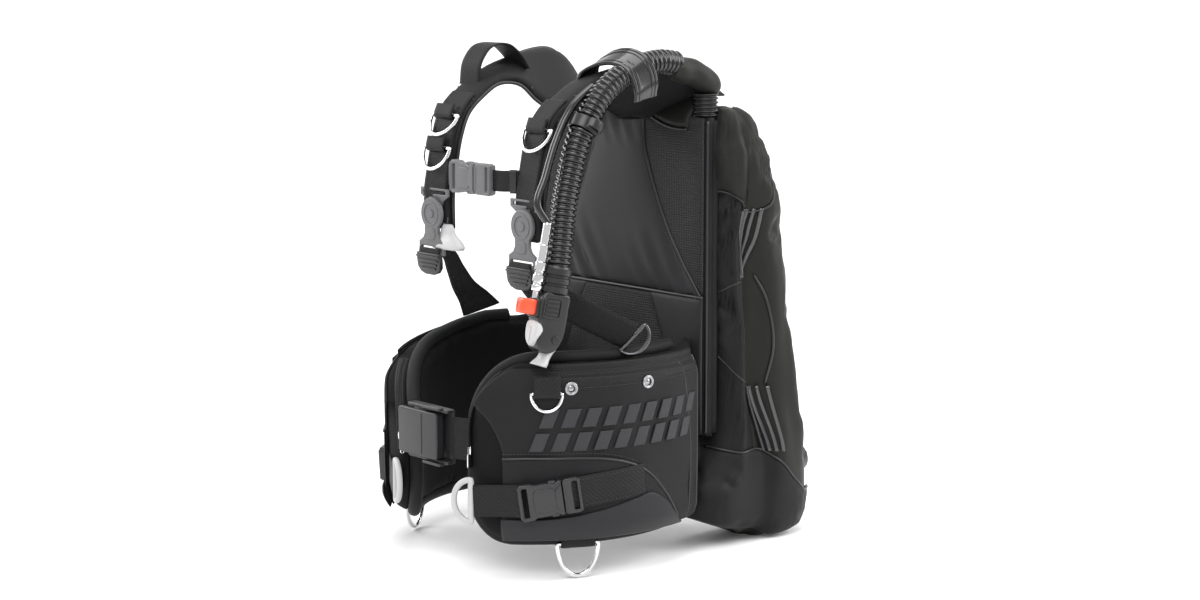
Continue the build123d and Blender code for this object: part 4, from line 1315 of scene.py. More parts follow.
def build_shoulder_buckles():
    """Swivel buckles under the straps with their hangers and the doubled webbing behind them."""
    for side, word in SIDES:
        place = local_frame((side * CHEST_OUT, -381, 122), (1, 0, 0), (0, -1, 0))
        collar = [(-27, 31), (27, 31), (27, 22), (17, 16), (10, 4), (-10, 4), (-17, 16), (-27, 22)]
        slot = rounded(44, 4.5, 2, (0, 26))
        hanger = [
            layer(place, [collar, slot], 3.4, -1.8, 0.9),
            layer(place, [disc(9)], 3, -1.8, 0.8),
            layer(place, [disc(5.5)], 10, 1.8, 0.9),
        ]
        finish_piece(join(f"{word}_hanger", hanger), "grey_plastic", "harness", "buckle_hangers")
        profile = [(20 * math.cos(t), 20 * math.sin(t)) for t in np.radians(np.linspace(-50, 230, 34))]
        profile += [(-13, -18), (-13, -24), (-16, -30), (-24, -35), (-24, -50)]
        profile += [(24, -50), (24, -35), (16, -30), (13, -24), (13, -18)]
        bottom_slot = rounded(40, 6, 2, (0, -43.5))
        swivel = [
            layer(place, [profile, bottom_slot], 5, 2.8, 1.3),
            layer(place, [disc(14.5), disc(12.3)], 1.6, 5.4, 0.5),
            layer(place, [rounded(17, 14, 5, (0, -25))], 2.2, 5.2, 0.8),
            layer(place, [rounded(46, 3.5, 1.5, (0, -49))], 7.5, 3, 1.3),
        ]
        made = join(f"{word}_swivel", swivel)
        finish_piece(made, "grey_plastic", f"{word}_swivel", f"{word}_buckle_swivel")
        drop = [(side * CHEST_OUT, y, z) for y, z in ((-388, 80), (-389, 72), (-388, 62))]
        tail = strap(f"{word}_webbing_tail", smooth_path(drop, 16), (1, 0, 0), 40, 2.4)
        finish_piece(tail, "webbing", "harness", "lower_webbing")
        spot = local_frame((side * CHEST_OUT, -388, 62), (1, 0, 0), (0, -1, -0.1))
        outline = smooth_edges_y([(-22, 12), (-23, 4), (-22, -6), (-17, -12), (-8, -15)])
        grip = [layer(spot, [outline], 6, 0, 1.6)]
        for height in (8, 3, -2, -7):
            rib = rounded(36 + height, 2.4, 1.1, (0, height))
            grip.append(layer(spot, [rib], 2.4, 3.4, 0.6))
        made = join(f"{word}_webbing_end", grip)
        finish_piece(made, "black_plastic", "harness", "lower_webbing", "webbing")


def smooth_edges_y(left):
    """Closed outline from its left half, mirrored about the local Y axis."""
    return [(x, y) for x, y in left] + [(-x, y) for x, y in reversed(left)]


def build_lower_webbing():
    """Webbing from each shoulder buckle back to the waist lobe."""
    near = smooth_path([(90, -382, 72), (98, -372, 50), (126, -338, 24), (152, -309, 4), (171, -289, -9)], 60)
    band = strap("left_lower_webbing", near, (0.55, 0.3, 0.8), 36, 2.4)
    finish_piece(band, "webbing", "harness", "lower_webbing")
    far = smooth_path([
        (-90, -378, 76), (-95, -353, 69), (-105, -334, 48),
        (-118, -310, 22), (-130, -284, 2), (-140, -264, -16),
    ], 60)
    width = curve_value(np.linspace(0, 1, 60), (0, 0.35, 0.7, 1), (14, 22, 34, 50))
    band = strap("right_lower_webbing", far, (0.6, 0.74, 0.25), width, 3.0)
    finish_piece(band, "webbing", "harness", "lower_webbing")
    frame_here = local_frame((172, -288, -10), (0.455, 0.505, 0.73), (0.73, -0.66, 0.15))
    ring = d_ring("left_side_ring", frame_here, 21, 2.3, 0.85, 2)
    finish_piece(ring, "gunmetal", "harness", "lower_webbing", "steel")


def build_dump_knob():
    """Pale pull knob on its ring at the far shoulder."""
    knob_x, knob_y = -64, -377
    profile = np.linspace(0, 1, 22)
    height = 80 + 30 * profile
    width = curve_value(profile, (0, 0.08, 0.3, 0.6, 0.85, 1), (27, 28.5, 25, 14, 11, 8))
    depth = width * 0.34
    turn = full_turn(36)
    rings = np.stack([
        knob_x + width[:, None] * np.sign(np.cos(turn)) * np.abs(np.cos(turn)) ** 0.75,
        knob_y + depth[:, None] * np.sign(np.sin(turn)) * np.abs(np.sin(turn)) ** 0.75,
        height[:, None] + 0 * turn,
    ], axis=-1)
    knob = new_mesh("dump_knob_body", rings.reshape(-1, 3), capped_faces(*rings.shape[:2]))
    finish_piece(knob, "pale_plastic", "dump_knob", "dump_knob")
    circle = full_turn(28)
    hoop = np.stack([-79 + 7 * np.cos(circle), knob_y + 2 * np.sin(circle), 104 + 9 * np.sin(circle)], axis=1)
    ring = tube("dump_knob_ring", hoop, 1.6, 10, closed=True)
    finish_piece(ring, "grey_plastic", "dump_knob", "dump_knob", "pale_plastic")
    cord = tube("dump_cord", smooth_path([(-66, -377, 108), (-70, -372, 120), (-76, -358, 150)], 20), 1.6, 10)
    finish_piece(cord, "piping", "harness", "shoulder_webbing", "webbing")


# ---------------------------------------------------------------- inflator
INFLATOR = local_frame((144, -380, 80), (-0.25, -0.95, 0.21), (0, 0.22, 0.975))
HOSE_PITCH = 7.0


def build_hose():
    """Corrugated breathing hose from the shoulder elbow down to the inflator."""
    route = [
        (131, -180, 306), (131, -205, 309), (131, -228, 307), (132, -252, 302),
        (132, -275, 292), (133, -302, 274), (134, -322, 252), (135, -340, 224),
        (136, -354, 186), (138, -365, 150), (141, -373, 112), (144, -380, 79),
    ]
    path = smooth_path(route, 520)
    run = run_along(path)
    cycle = (run % HOSE_PITCH) / HOSE_PITCH
    radius = 12.4 + 2.9 * np.clip(1.25 * np.sin(np.pi * np.clip(cycle * 1.35, 0, 1)), 0, 1)
    hose = tube("corrugated_hose", path, radius, 30)
    bend = ("harness", "inflator", (0.131, -0.205, 0.306), (0.131, -0.252, 0.290))
    finish_piece(hose, "rubber", bend, ("hose_upper", "hose_lower"), "hose_rubber")
    place = local_frame((134, -331, 240), (1, 0, 0), (0.02, -0.55, -0.83))
    clip = [
        layer(place, [disc(17.8), disc(14.9)], 15, 0, 0.9),
        layer(place, [rounded(5, 20, 2, (18, 0))], 13, 0, 1.2),
        layer(place, [hook_outline()], 11, 0, 1.0),
    ]
    finish_piece(join("hose_clip_body", clip), "black_plastic", "inflator", "hose_clip")


def hook_outline():
    """Hooked arm on the side of the hose clip."""
    outer = [(18 + 12 * math.cos(t), 2 + 12 * math.sin(t)) for t in np.linspace(1.2, -1.9, 14)]
    inner = [(18 + 8.5 * math.cos(t), 2 + 8.5 * math.sin(t)) for t in np.linspace(-1.9, 1.2, 14)]
    return outer + inner


def build_low_pressure_hose():
    """Thin hose and the chromed quick coupling."""
    start = INFLATOR[0](np.array([22.5, 0, 48.0]))
    route = smooth_path([
        start, (130, -398, 150), (127, -384, 184), (123, -362, 228), (120, -336, 262), (118, -302, 284),
    ], 90)
    hose = tube("low_pressure_hose", route, 4.6, 20)
    finish_piece(hose, "rubber", "inflator", "lp_hose", "hose_rubber")
    steps = np.array([
        (-40, 4.0), (-32, 4.0), (-31, 6.2), (-26, 6.8), (-25, 6.8), (-24, 5.6),
        (-21, 5.6), (-20, 7.2), (-13, 7.2), (-12, 5.8), (-8, 5.8), (-7, 7.0),
        (2, 7.0), (3, 6.0), (22, 6.0), (23, 5.2), (46, 5.2), (48, 4.7),
    ])
    # Each step is drawn from two points just inside its ends, so that the corners stay crisp.
    inside = [a * (1 - t) + b * t for a, b in zip(steps, steps[1:]) for t in (0.05, 0.95)]
    axis = INFLATOR[0](np.array([(22.5, 0, z) for z, _ in inside]))
    coupling = tube("quick_coupling", axis, [size for _, size in inside], 28)
    smooth_by_angle(coupling, 30)
    finish_piece(coupling, "chrome", "inflator", "lp_coupling")


def side_plate(outlines, depth, shift, bevel):
    """Layer of the inflator drawn in its X-Z plane, extruded across."""
    place, x_axis, _, z_axis = INFLATOR
    return plate("layer", outlines, depth, (place([0, shift, 0]), x_axis, np.cross(x_axis, z_axis)), bevel)


def front_plate(name, outlines, depth, out, height, bevel, resolution=3):
    """Layer that faces forward, at a distance out from the inflator's axis and a height."""
    place, x_axis, y_axis, _ = INFLATOR
    return plate(name, outlines, depth, (place([out, 0, height]), y_axis, x_axis), bevel, resolution)


def build_inflator():
    """Inflator with its collar, housing, both buttons and the mouthpiece."""
    build_inflator_collar()
    build_inflator_housing()
    build_inflate_button()
    build_deflate_button()
    build_mouthpiece()


def build_inflator_collar():
    """Ringed collar that clamps the hose to the inflator."""
    place = INFLATOR[0]
    heights = [2, 1, -1, -2, -4, -9, -10, -12, -13, -19, -20, -22, -23, -30, -31]
    sizes = [13.5, 15.4, 15.8, 16.8, 16.8, 16.8, 15.2, 15.2, 16.8, 16.8, 15.2, 15.2, 16.8, 16.8, 15]
    collar = tube("inflator_ring", place(np.array([(0, 0, z) for z in heights])), sizes, 36)
    smooth_by_angle(collar, 35)
    finish_piece(collar, "black_plastic", "inflator", "inflator_collar")


def build_inflator_housing():
    """Moulded housing with its grille slots, window frame and boss on both faces."""
    body = smooth_outline([
        (-15, -31), (-16.5, -48), (-16.5, -66), (-14.5, -84), (-8, -96), (3, -101), (14, -98), (17.6, -88),
        (16.8, -74), (18, -68), (20, -66), (21, -58), (21, -42), (19, -35), (15, -31), (0, -30),
    ], 90)
    layers = [side_plate([body], 29, 0, 4.0)]
    for step in range(4):
        z = -40 - 5.2 * step
        for shift in (-14.6, 14.6):
            layers.append(side_plate([rounded(17, 2.6, 1.2, (6, z))], 2.4, shift, 0.5))
    for shift in (-14.8, 14.8):
        ring = rounded(23, 25, 4, (6, -47.5))
        hole = rounded(19.5, 21.5, 3, (6, -47.5))
        layers.append(side_plate([ring, hole], 2.2, shift, 0.5))
        layers.append(side_plate([disc(5, (-5, -84))], 2.2, shift, 0.7))
    finish_piece(join("inflator_housing", layers), "black_plastic", "inflator", "inflator_body")


def build_inflate_button():
    """Orange inflate button in its surround."""
    button = [
        front_plate("layer", [rounded(18, 18, 3.2)], 24, 30, -50, 2.4),
        front_plate("layer", [rounded(11, 11, 2.5), rounded(8, 8, 2)], 1.2, 42, -50, 0.4),
    ]
    finish_piece(join("inflate_cap", button), "orange_plastic", "inflate_button", "inflate_button")
    opening = [rounded(23, 23, 4), rounded(18.8, 18.8, 3)]
    frame_ring = front_plate("inflate_surround", opening, 5, 22, -50, 1.0)
    finish_piece(frame_ring, "black_plastic", "inflator", "inflator_body")


def build_deflate_button():
    """Pale deflate button with a raised rib."""
    face = [(-12.5, 14), (0, 17), (12.5, 14), (14, 2), (9, -9), (0, -14), (-9, -9), (-14, 2)]
    cap = [
        front_plate("layer", [smooth_outline(face, 60)], 15, 15, -81, 3.6, 5),
        front_plate("layer", [rounded(4, 18, 1.8, (0, -1))], 1.6, 22.8, -81, 0.7),
    ]
    finish_piece(join("deflate_cap", cap), "pale_plastic", "deflate_button", "deflate_button")


def build_mouthpiece():
    """Soft mouthpiece, pinched in the middle and flared at its end."""
    place = INFLATOR[0]
    profile = np.linspace(0, 1, 20)
    z = -95 - 21 * profile
    shift = -4 + 9 * profile**1.4
    deep = curve_value(profile, (0, 0.25, 0.6, 0.85, 1), (10, 7.5, 6.4, 7.4, 8.2))
    wide = curve_value(profile, (0, 0.25, 0.6, 0.85, 1), (11.5, 10.5, 12, 15, 15.5))
    turn = full_turn(32)
    rings = np.stack([
        shift[:, None] + deep[:, None] * np.cos(turn),
        wide[:, None] * np.sin(turn),
        z[:, None] + 0.25 * shift[:, None] * np.cos(turn),
    ], axis=-1)
    mouth = new_mesh("mouthpiece_body", place(rings.reshape(-1, 3)), capped_faces(*rings.shape[:2]))
    finish_piece(mouth, "pale_plastic", "inflator", "mouthpiece")


# ---------------------------------------------------------------- waist lobes
POCKET_R = 217.0
BARS_IN_ROW = 9
EYELET_ANGLES, EYELET_Z = (-30, -4), -60
HANDLE_ANGLE = {1: -61.0, -1: -65.5}


def pocket_radius(angle, height):
    """Outer radius of the pocket: full in the middle, drawn in to the hems."""
    top = np.clip((height + 66) / 34, 0, 1)
    base = np.clip((-222 - height) / 24, 0, 1)
    swell = 2.5 * np.cos(np.radians((angle + 20) * 2)) * np.clip((height + 240) / 60, 0, 1)
    return POCKET_R + swell - 13 * top**1.5 - 9 * base**1.6


def face_front(side, height):
    """Angle where the pocket's outer face starts."""
    heights = (-246, -200, -160, -143, -118, -96, -78, -60)
    opened = curve_value(height, heights, (-49, -50, -50, -50.5, -52.5, -56, -61, -66))
    return np.maximum(opened, front_edge(side, height) + 1.2)


def weight_arch(angle):
    """Height of the arched seam over the weight compartment."""
    return curve_value(angle, (-51, -40, -20, -6, 3, 10, 14), (-143, -142, -145, -163, -196, -232, -243))


def pale_edge(angle):
    """Upper edge of the smooth panel under the buckle."""
    heights = (-215, -213, -206, -196, -193, -206, -232, -242)
    return curve_value(angle, (-51, -35, -20, -8, -3, 3, 9, 13), heights)


def build_lobe(side, word):
    """Waist lobe: padded panel, pocket with its faces, hems, zip and seams."""
    body = f"{word}_lobe"
    build_lobe_panel(side, word, body)
    build_pocket_core(side, word, body)
    build_pocket_face(side, word, body)
    build_weight_panels(side, word, body)
    build_pocket_bars(side, word, body)
    build_lobe_trim(side, word, body)


def build_lobe_panel(side, word, body):
    """Padded panel that wraps the waist, and the binding round it."""
    panel = lobe_sheet(f"{word}_lobe_panel", side, PANEL_IN - 1, PANEL_OUT + 1, 36)
    puff(panel, 3.0, 4.0, 4.5)
    start, end = lobe(side, 35, 185, -140) * MM, lobe(side, 20, 185, -140) * MM
    finish_piece(panel, "lining", ("harness", body, tuple(start), tuple(end)), f"{word}_waist_panel", "nylon")
    heights = np.linspace(LOBE_TOP, LOBE_BOTTOM, 90)
    angles = front_edge(side, heights)
    rim = np.vstack([
        lobe(side, np.linspace(18, angles[0], 60), 185, LOBE_TOP),
        lobe(side, angles, 185, heights),
        lobe(side, np.linspace(angles[-1], 18, 60), 185, LOBE_BOTTOM),
    ])
    binding = tube(f"{word}_lobe_binding", smooth_path(rim[::3], 260), 8.2, 14)
    finish_piece(binding, "nylon", body, f"{word}_waist_panel")


def build_pocket_core(side, word, body):
    """Dark inner body of the pocket, seen where the zip opens it."""
    rows, columns = 70, 110
    z = np.linspace(-243, -34, rows)[:, None]
    front = front_edge(side, z) + 0.6
    angle = front + (24 - front) * np.linspace(0, 1, columns)[None] ** 1.15
    outer = pocket_radius(angle, z) - 2.5
    open_side = np.clip((angle - front) / np.maximum(face_front(side, z) - front, 0.5), 0, 1)
    outer = 196 + (outer - 196) * np.sqrt(open_side)
    inner = 193.0
    middle = lobe(side, angle, (outer + inner) / 2, z)
    normal = outward(side, angle)
    thick = (outer - inner) * (0.25 + 0.75 * np.outer(rim_profile(rows, 0.05), np.ones(columns)))
    core = slab(f"{word}_pocket_core", *turned(side, middle, normal, thick))
    finish_piece(core, "lining", body, (f"{word}_pocket", f"{word}_weight_pouch"), "nylon")


def build_pocket_face(side, word, body):
    """Outer face of the pocket."""
    z = np.linspace(-241, -38, 80)[:, None]
    front = face_front(side, z)
    angle = front + (22 - front) * np.linspace(0, 1, 120)[None]
    z = np.broadcast_to(z, angle.shape)
    middle = lobe(side, angle, pocket_radius(angle, z), z)
    normal = outward(side, angle)
    thick = 4 * padding(80, 120, 0.03, 0.02)
    face = slab(f"{word}_pocket_face", *turned(side, middle, normal, thick))
    points, normals = get_points(face), get_normals(face)
    points = folds(points, normals, np.ones(len(points)), (0.6, 0.6, 0.5), 70, 0.9, 31 + side)
    set_points(face, points)
    finish_piece(face, "nylon", body, f"{word}_pocket")


def build_weight_panels(side, word, body):
    """Flap over the weight compartment and the smooth panel under the buckle."""
    def flap_radius(angle, height):
        """Outer radius of the flap over the weight compartment."""
        return pocket_radius(angle, height) + 2.2

    def face_radius(angle, height):
        """Outer radius of the smooth panel, fullest 20 mm above its foot."""
        return pocket_radius(angle, height) + 4.4 + 1.5 * np.sin(np.clip((height + 242) / 40, 0, 1) * np.pi)

    flap = lobe_patch(f"{word}_weight_flap", side, -51, 13.5, weight_arch, level(-240), flap_radius, 2.6)
    finish_piece(flap, "print", body, f"{word}_pocket", "nylon")
    smooth = lobe_patch(f"{word}_weight_face", side, -51.5, 13, pale_edge, level(-242), face_radius, 3.4)
    finish_piece(smooth, "pale_nylon", body, f"{word}_pocket", "nylon")


def build_pocket_bars(side, word, body):
    """Two rows of plain slanted bars on the outer face, in place of any lettering."""
    bars = []
    for low, high, first in ((-106, -84, -40), (-134, -112, -43)):
        for step in range(BARS_IN_ROW):
            z = np.linspace(low, high, 12)[:, None]
            start = first + 6.6 * step + 0.10 * (z - low)
            angle = start + 4.2 * np.linspace(0, 1, 10)[None]
            z = np.broadcast_to(z, angle.shape)
            middle = lobe(side, angle, pocket_radius(angle, z) + 3.1, z)
            bars.append(slab("bar", *turned(side, middle, outward(side, angle)), 0.8))
    finish_piece(join(f"{word}_pocket_bars", bars), "mark", body, f"{word}_pocket", "nylon")


def lobe_path(side, angles, radius, heights, count=80):
    """Smooth path on a lobe."""
    t = np.linspace(0, 1, count)
    angle = curve_value(t * (len(angles) - 1), range(len(angles)), angles)
    height = curve_value(t * (len(heights) - 1), range(len(heights)), heights)
    return lobe(side, angle, pocket_radius(angle, height) + radius, height), outward(side, angle)


def build_lobe_trim(side, word, body):
    """Hems, seams, stitching and zip of a lobe."""
    build_hems(side, word, body)
    build_pocket_seams(side, word, body)
    build_zip(side, word, body)


def build_hems(side, word, body):
    """Two bands of webbing along the pocket's top."""
    hems = []
    for drop, lift in ((9, 1.2), (24, 2.0)):
        path, _ = lobe_path(side, (21.6, 0, -20, -36), lift, [LOBE_TOP - drop] * 4)
        hems.append(strap("hem", path, (0, 0, 1), 11, 2.2))
    finish_piece(join(f"{word}_hem_bands", hems), "webbing", body, f"{word}_pocket")


def build_pocket_seams(side, word, body):
    """Seams on the pocket's face and the rows of stitches beside them."""
    seams = []
    arch = (-51, -40, -20, -6, 3, 10, 13.5)
    path, facing = lobe_path(side, arch, 3.0, [weight_arch(a) for a in arch])
    seams.append(tube("seam", path, 1.7, 10))
    path_rear, _ = lobe_path(side, (12, 15, 17, 16), 1.8, (-45, -100, -160, -238))
    seams.append(tube("seam", path_rear, 1.3, 10))
    path_last, _ = lobe_path(side, (21.6, 21.8, 21.8, 21.6), 1.0, (-42, -100, -160, -238))
    seams.append(tube("seam", path_last, 2.0, 10))
    finish_piece(join(f"{word}_pocket_seams", seams), "piping", body, f"{word}_pocket", "nylon")

    rows = [stitches("row", path + (0, 0, 5.5) - facing * 0.3, facing, 2.6, 1.7, 0.42)]
    for shift in (-2.6, 2.6):
        line, out = lobe_path(side, (12.4, 15.4, 17.4, 16.4), 2.0, (-45, -100, -160, -238))
        rows.append(stitches("row", line + (0, shift, 0), out, 2.6, 1.8, 0.4))
    for drop in (3.5, 14.5, 18.5, 29.5):
        line, out = lobe_path(side, (21, 0, -20, -35), 3.2 if drop > 15 else 2.4, [LOBE_TOP - drop] * 4, 160)
        rows.append(stitches("row", line, out, 2.4, 1.6, 0.38))
    finish_piece(join(f"{word}_pocket_stitches", rows), "thread", body, f"{word}_pocket", "nylon")


def build_zip(side, word, body):
    """Zip along the pocket's front edge."""
    z = np.linspace(-44, -160, 60)
    edge = lobe(side, front_edge(side, z) + 0.8, 201.5, z)
    out = outward(side, front_edge(side, z))
    finish_piece(strap(f"{word}_zip_tape", edge, out, 12, 1.6), "webbing", body, f"{word}_pocket")
    facing = unit(np.cross(np.gradient(edge, axis=0), out)) * side
    lanes = [edge + facing * 1.2 + out * shift for shift in (-0.9, 0.9)]
    teeth = [stitches("teeth", lane, facing, 1.7, 1.3, 0.75) for lane in lanes]
    finish_piece(join(f"{word}_zip_teeth", teeth), "dark_plastic", body, f"{word}_pocket", "black_plastic")


def level_frame(side, angle, radius, height):
    """Frame on a lobe with X level and Y straight up."""
    out = outward(side, angle)
    return local_frame(lobe(side, angle, radius, height), np.cross((0, 0, 1), out), out)


def build_lobe_hardware(side, word):
    """Eyelets, rings, buckle, webbing, handle and zip slider of a lobe."""
    body = f"{word}_lobe"
    # The far side's buckle, webbing and handle are tucked closer to the pocket.
    tuck = 0 if side > 0 else 9
    build_eyelets(side, word, body)
    build_lobe_rings(side, word, body)
    build_pocket_buckle(side, word, body, tuck)
    build_grab_handle(side, word, tuck)
    build_zip_slider(side, word)
    build_belt(side, word, body)


def build_eyelets(side, word, body):
    """Two metal eyelets near the pocket's top."""
    rims = []
    for angle in EYELET_ANGLES:
        radius = float(pocket_radius(angle, EYELET_Z))
        spot = local_frame(lobe(side, angle, radius, EYELET_Z), (0, 0, 1), outward(side, angle))
        rims.append(layer(spot, [disc(8.0), disc(5.0)], 3.0, 2.2, 1.4, 5))
        rims.append(tube("barrel", spot[0](np.array([(0, 0, -3.0), (0, 0, 2.6)])), 5.6, 30))
        rims.append(layer(spot, [disc(5.4), disc(4.4)], 1.2, 3.0, 0.4))
    finish_piece(join(f"{word}_eyelet_rims", rims), "steel", body, f"{word}_eyelets")


def build_lobe_rings(side, word, body):
    """Ring under each lobe and the hip ring on the left one, in their webbing tabs."""
    level_spot = level_frame(side, -27, 204, -249)
    ring = d_ring(f"{word}_bottom_ring_wire", level_spot, 25, 2.6, 1.55, 0)
    finish_piece(ring, "chrome", f"{word}_bottom_ring", f"{word}_bottom_ring")
    tab = ring_tab(f"{word}_bottom_tab", level_spot, 41, 12)
    finish_piece(tab, "webbing", body, f"{word}_pocket")
    if side > 0:
        hip = level_frame(side, -37.5, POCKET_R + 5.2, -66)
        ring = d_ring("left_hip_ring_wire", hip, 18, 2.1, 1.1, 2)
        finish_piece(ring, "chrome", "left_hip_ring", "left_hip_ring")
        tab = ring_tab("left_hip_tab", hip, 32, 21)
        finish_piece(tab, "webbing", body, f"{word}_pocket")


def build_pocket_buckle(side, word, body, tuck):
    """Buckle over the weight pouch with the webbing on both of its ends."""
    middle = lobe(side, -33, POCKET_R + 10.5 - tuck, -186)
    rearward = -np.array(forward_turn(side, -33))
    frame_here = local_frame(middle, rearward + np.array([0, 0, 0.14]), outward(side, -33))
    socket, plug = side_release(f"{word}_pocket_buckle", frame_here, 44, 52, 22)
    finish_piece(socket, "dark_plastic", f"{word}_pouch", f"{word}_pocket_socket")
    finish_piece(plug, "dark_plastic", body, f"{word}_pocket_plug")

    angle = np.linspace(HANDLE_ANGLE[side] + 1, -45.5, 40)
    lift = curve_value(angle, (-64.5, -58, -50, -46.5, -45.5), (222.6, 222, 224, 227, 228.5)) - tuck
    height = -194 + 0.25 * (angle + 58)
    band = strap(f"{word}_pouch_strap", lobe(side, angle, lift, height), (0, 0, 1), 38, 2.6)
    under = strap("under", lobe(side, angle, lift - 3.2, height), (0, 0, 1), 37, 2.6)
    made = join(f"{word}_pouch_webbing", [band, under])
    finish_piece(made, "webbing", f"{word}_pouch", f"{word}_weight_pouch")
    angle = np.linspace(-30.5, -6, 50)
    lift = curve_value(angle, (-30.5, -28, -22, -10, -6), (228, 227, 224.5, 223.5, 222.5)) - tuck
    path = lobe(side, angle, lift, -183 + 0.34 * (angle + 30))
    band = strap(f"{word}_plug_webbing", path, (0, 0, 1), 38, 2.6)
    finish_piece(band, "webbing", body, f"{word}_pocket")
    out = outward(side, angle)
    rows = [stitches("row", path + out * 1.6 + (0, 0, shift), out, 2.6, 1.7, 0.42) for shift in (-15.5, 15.5)]
    finish_piece(join(f"{word}_plug_stitches", rows), "thread", body, f"{word}_pocket", "webbing")


def build_grab_handle(side, word, tuck):
    """D-shaped grab handle at the front of the weight pouch."""
    tip = lobe(side, HANDLE_ANGLE[side], POCKET_R + 4.3 - tuck, -195)
    grip_x = np.array([0, 0, 1.0])
    grip_out = np.cross(grip_x, -np.array(forward_turn(side, HANDLE_ANGLE[side])))
    handle = d_ring(f"{word}_handle_ring", local_frame(tip, grip_x, grip_out), 25, 3.6, 0.86, 0)
    finish_piece(handle, "pale_plastic", f"{word}_handle", f"{word}_grab_handle")


def build_zip_slider(side, word):
    """Zip slider with its hanging pull."""
    start, ahead = (lobe(side, angle, 203, -139.0) for angle in (-62.6, -75))
    place = local_frame(start, (0, 0, 1), ahead - start)
    pieces = [
        layer(place, [rounded(11, 8, 2.5)], 4, 1.5, 0.9),
        layer(place, [rounded(17, 5.5, 2.2, (-13, 0)), rounded(5, 2.6, 1.2, (-18, 0))], 1.6, 4.4, 0.5),
    ]
    finish_piece(join(f"{word}_zip_pull", pieces), "chrome", f"{word}_zip_slider", f"{word}_zip_slider")


def build_belt(side, word, body):
    """Waist webbing from the lobe to the waist buckle."""
    end = -71 if side > 0 else -69.3
    angle = np.linspace(end, -20, 60)
    belt = strap(f"{word}_belt", lobe(side, angle, 195, -128), (0, 0, 1), 50, 2.8)
    finish_piece(belt, "webbing", body, f"{word}_waist_webbing")


def forward_turn(side, angle):
    """Forward direction along a lobe's wall."""
    turn = math.radians(angle)
    return (side * math.sin(turn), -math.cos(turn), 0.0)


def build_waist_buckle():
    """Cam buckle in front of the wearer: frame, pin and lever plate."""
    across, forward, upward = (1, 0, 0), (0, -1, 0), (0, 0, 1)
    frame_layers = [
        plate("layer", [rounded(76, 66, 4, (-2, 0))], 2.6, ((0, -449, -128), across, forward), 0.8),
    ]
    for z in (31, -31):
        wall, cheek = (0, -454.5, -128 + z), (0, -463, -128 + z * 1.08)
        frame_layers.append(plate("layer", [rounded(76, 13, 3, (-2, 0))], 4, (wall, across, upward), 1.2))
        frame_layers.append(plate("layer", [rounded(34, 9, 3, (12, 0))], 3.2, (cheek, across, upward), 1.0))
    made = join("waist_buckle_base", frame_layers)
    finish_piece(made, "dark_plastic", "right_lobe", "waist_buckle_frame")
    lever = [
        plate("layer", [rounded(74, 56, 3.5, (-13, 0))], 6, ((0, -464.5, -128), across, forward), 1.8),
        plate("layer", [rounded(9, 54, 3, (19, 0))], 9, ((0, -460, -128), across, forward), 2.2),
        plate("layer", [rounded(1.6, 50, 0.7, (-5, 0))], 1.2, ((0, -467.6, -128), across, forward), 0.4),
        tube("pin", np.array([(20, -456, -161), (20, -456, -95)]), 2.5, 20),
    ]
    finish_piece(join("waist_buckle_plate", lever), "dark_plastic", "waist_lever", "waist_buckle_lever")


# ---------------------------------------------------------------- tank side


def build_tank_side():
    """Tank band, its stitching and the carry handle."""
    turn = np.linspace(0, 2 * np.pi, 121)
    path = np.stack([93.3 * np.sin(turn), 93.3 * np.cos(turn), 0 * turn], axis=1)
    band = strap("tank_band_webbing", path, (0, 0, 1), 50, 2.5)
    finish_piece(band, "webbing", "harness", "tank_band")
    rows = [stitches("row", path[8:-8] * 1.0134 + (0, 0, z), unit(path[8:-8]), 3, 2, 0.45) for z in (-21, 21)]
    finish_piece(join("tank_band_stitches", rows), "thread", "harness", "tank_band", "webbing")
    arch = [(-119, 243), (-118, 256), (-113, 268), (-107, 269), (-102, 258), (-100, 243)]
    handle = smooth_path([(0, y, z) for y, z in arch], 50)
    made = strap("carry_handle_band", handle, (1, 0, 0), 46, 4, 0.4)
    finish_piece(made, "webbing", "harness", "carry_handle")


def dress_cad_parts():
    """Gives the CAD parts that stay their materials, with softened edges."""
    looks = {"backplate_screws": "steel"}
    moulded = ("backplate", "tank_buckle_frame", "tank_buckle_lever")
    moulded += ("rear_dump_housing", "rear_dump_plunger")
    looks.update(dict.fromkeys(moulded, "black_plastic"))
    for name, look in looks.items():
        node = frame["nodes"][name]
        node.data.materials.clear()
        node.data.materials.append(MATERIALS[look])
        weld = node.modifiers.new("weld", "WELD")
        weld.merge_threshold = 0.00001
        soft = node.modifiers.new("soft", "BEVEL")
        soft.width = 0.6 * MM
        soft.segments = 2
        soft.limit_method = "ANGLE"


build_chest_rings()
build_sternum()
build_shoulder_buckles()
build_lower_webbing()
build_dump_knob()
build_hose()
build_low_pressure_hose()
build_inflator()
for side, word in SIDES:
    build_lobe(side, word)
    build_lobe_hardware(side, word)
build_waist_buckle()
build_tank_side()
dress_cad_parts()


# ---------------------------------------------------------------- staging
VIEW_AZIMUTH, VIEW_ELEVATION = math.radians(48), math.radians(9)
# Distance and aim point in metres, lens in millimetres.
VIEW_DISTANCE, VIEW_LENS = 3.0, 70.86
VIEW_TARGET = Vector((-0.018, -0.169, 0.0))
# Floor runs forward, then up a quarter circle behind the object.
FLOOR_FRONT, FLOOR_BACK, FLOOR_CURVE, FLOOR_HALF_WIDTH = -6000.0, 1500.0, 1500.0, 7000


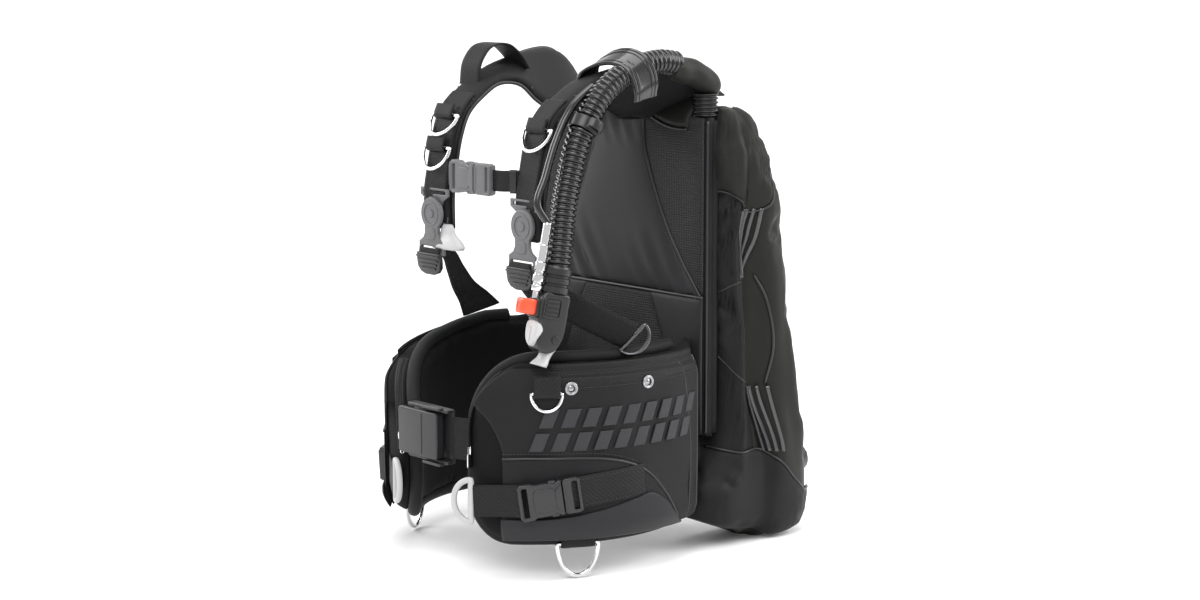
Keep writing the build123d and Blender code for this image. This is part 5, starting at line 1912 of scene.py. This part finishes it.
def build_stage():
    """Pale seamless floor, soft lights and the camera."""
    floor_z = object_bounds()[0].z / MM - 0.5
    profile = [(FLOOR_FRONT, floor_z), (FLOOR_BACK, floor_z)]
    for turn in np.linspace(0, math.pi / 2, 16)[1:]:
        rise = FLOOR_CURVE * (1 - math.cos(turn))
        profile.append((FLOOR_BACK + FLOOR_CURVE * math.sin(turn), floor_z + rise))
    profile.append((FLOOR_BACK + FLOOR_CURVE, floor_z + 6000))
    back = np.array([-math.sin(VIEW_AZIMUTH), math.cos(VIEW_AZIMUTH), 0])
    across = np.array([math.cos(VIEW_AZIMUTH), math.sin(VIEW_AZIMUTH), 0])
    sides = (-FLOOR_HALF_WIDTH, FLOOR_HALF_WIDTH)
    rows = [[back * d + across * s + np.array([0, 0, z]) for s in sides] for d, z in profile]
    floor = new_mesh("floor", np.array(rows).reshape(-1, 3), grid_faces(len(rows), 2))
    white, _, shader, _ = node_material("floor_white")
    shader.inputs["Base Color"].default_value = (0.93, 0.93, 0.93, 1)
    shader.inputs["Roughness"].default_value = 0.9
    floor.data.materials.append(white)
    world = bpy.data.worlds.new("studio")
    world.use_nodes = True
    world.node_tree.nodes["Background"].inputs[0].default_value = (1, 1, 1, 1)
    world.node_tree.nodes["Background"].inputs[1].default_value = 0.75
    bpy.context.scene.world = world
    bpy.context.scene.view_settings.view_transform = "Standard"
    # Name, place, size and power of each lamp.
    lamps = (
        ("key", (1.3, -1.9, 2.2), 1.8, 55),
        ("rim", (1.6, 1.4, 1.2), 1.6, 45),
        ("left", (-2.0, -1.2, 1.1), 1.4, 30),
        ("top", (-0.1, 0.1, 2.4), 1.8, 35),
    )
    for name, place, size, power in lamps:
        data = bpy.data.lights.new(name, "AREA")
        data.size = size
        data.energy = power
        lamp = bpy.data.objects.new(name, data)
        lamp.location = place
        lamp.rotation_mode = "QUATERNION"
        lamp.rotation_quaternion = (VIEW_TARGET - Vector(place)).to_track_quat("-Z", "Y")
        bpy.context.scene.collection.objects.link(lamp)
    away = Vector((
        math.sin(VIEW_AZIMUTH) * math.cos(VIEW_ELEVATION),
        -math.cos(VIEW_AZIMUTH) * math.cos(VIEW_ELEVATION),
        math.sin(VIEW_ELEVATION),
    ))
    camera = bpy.data.objects.new("camera", bpy.data.cameras.new("camera"))
    camera.data.lens = VIEW_LENS
    camera.data.sensor_width = 36
    camera.location = VIEW_TARGET + away * VIEW_DISTANCE
    camera.rotation_mode = "QUATERNION"
    camera.rotation_quaternion = (-away).to_track_quat("-Z", "Y")
    bpy.context.scene.collection.objects.link(camera)
    bpy.context.scene.camera = camera


build_stage()
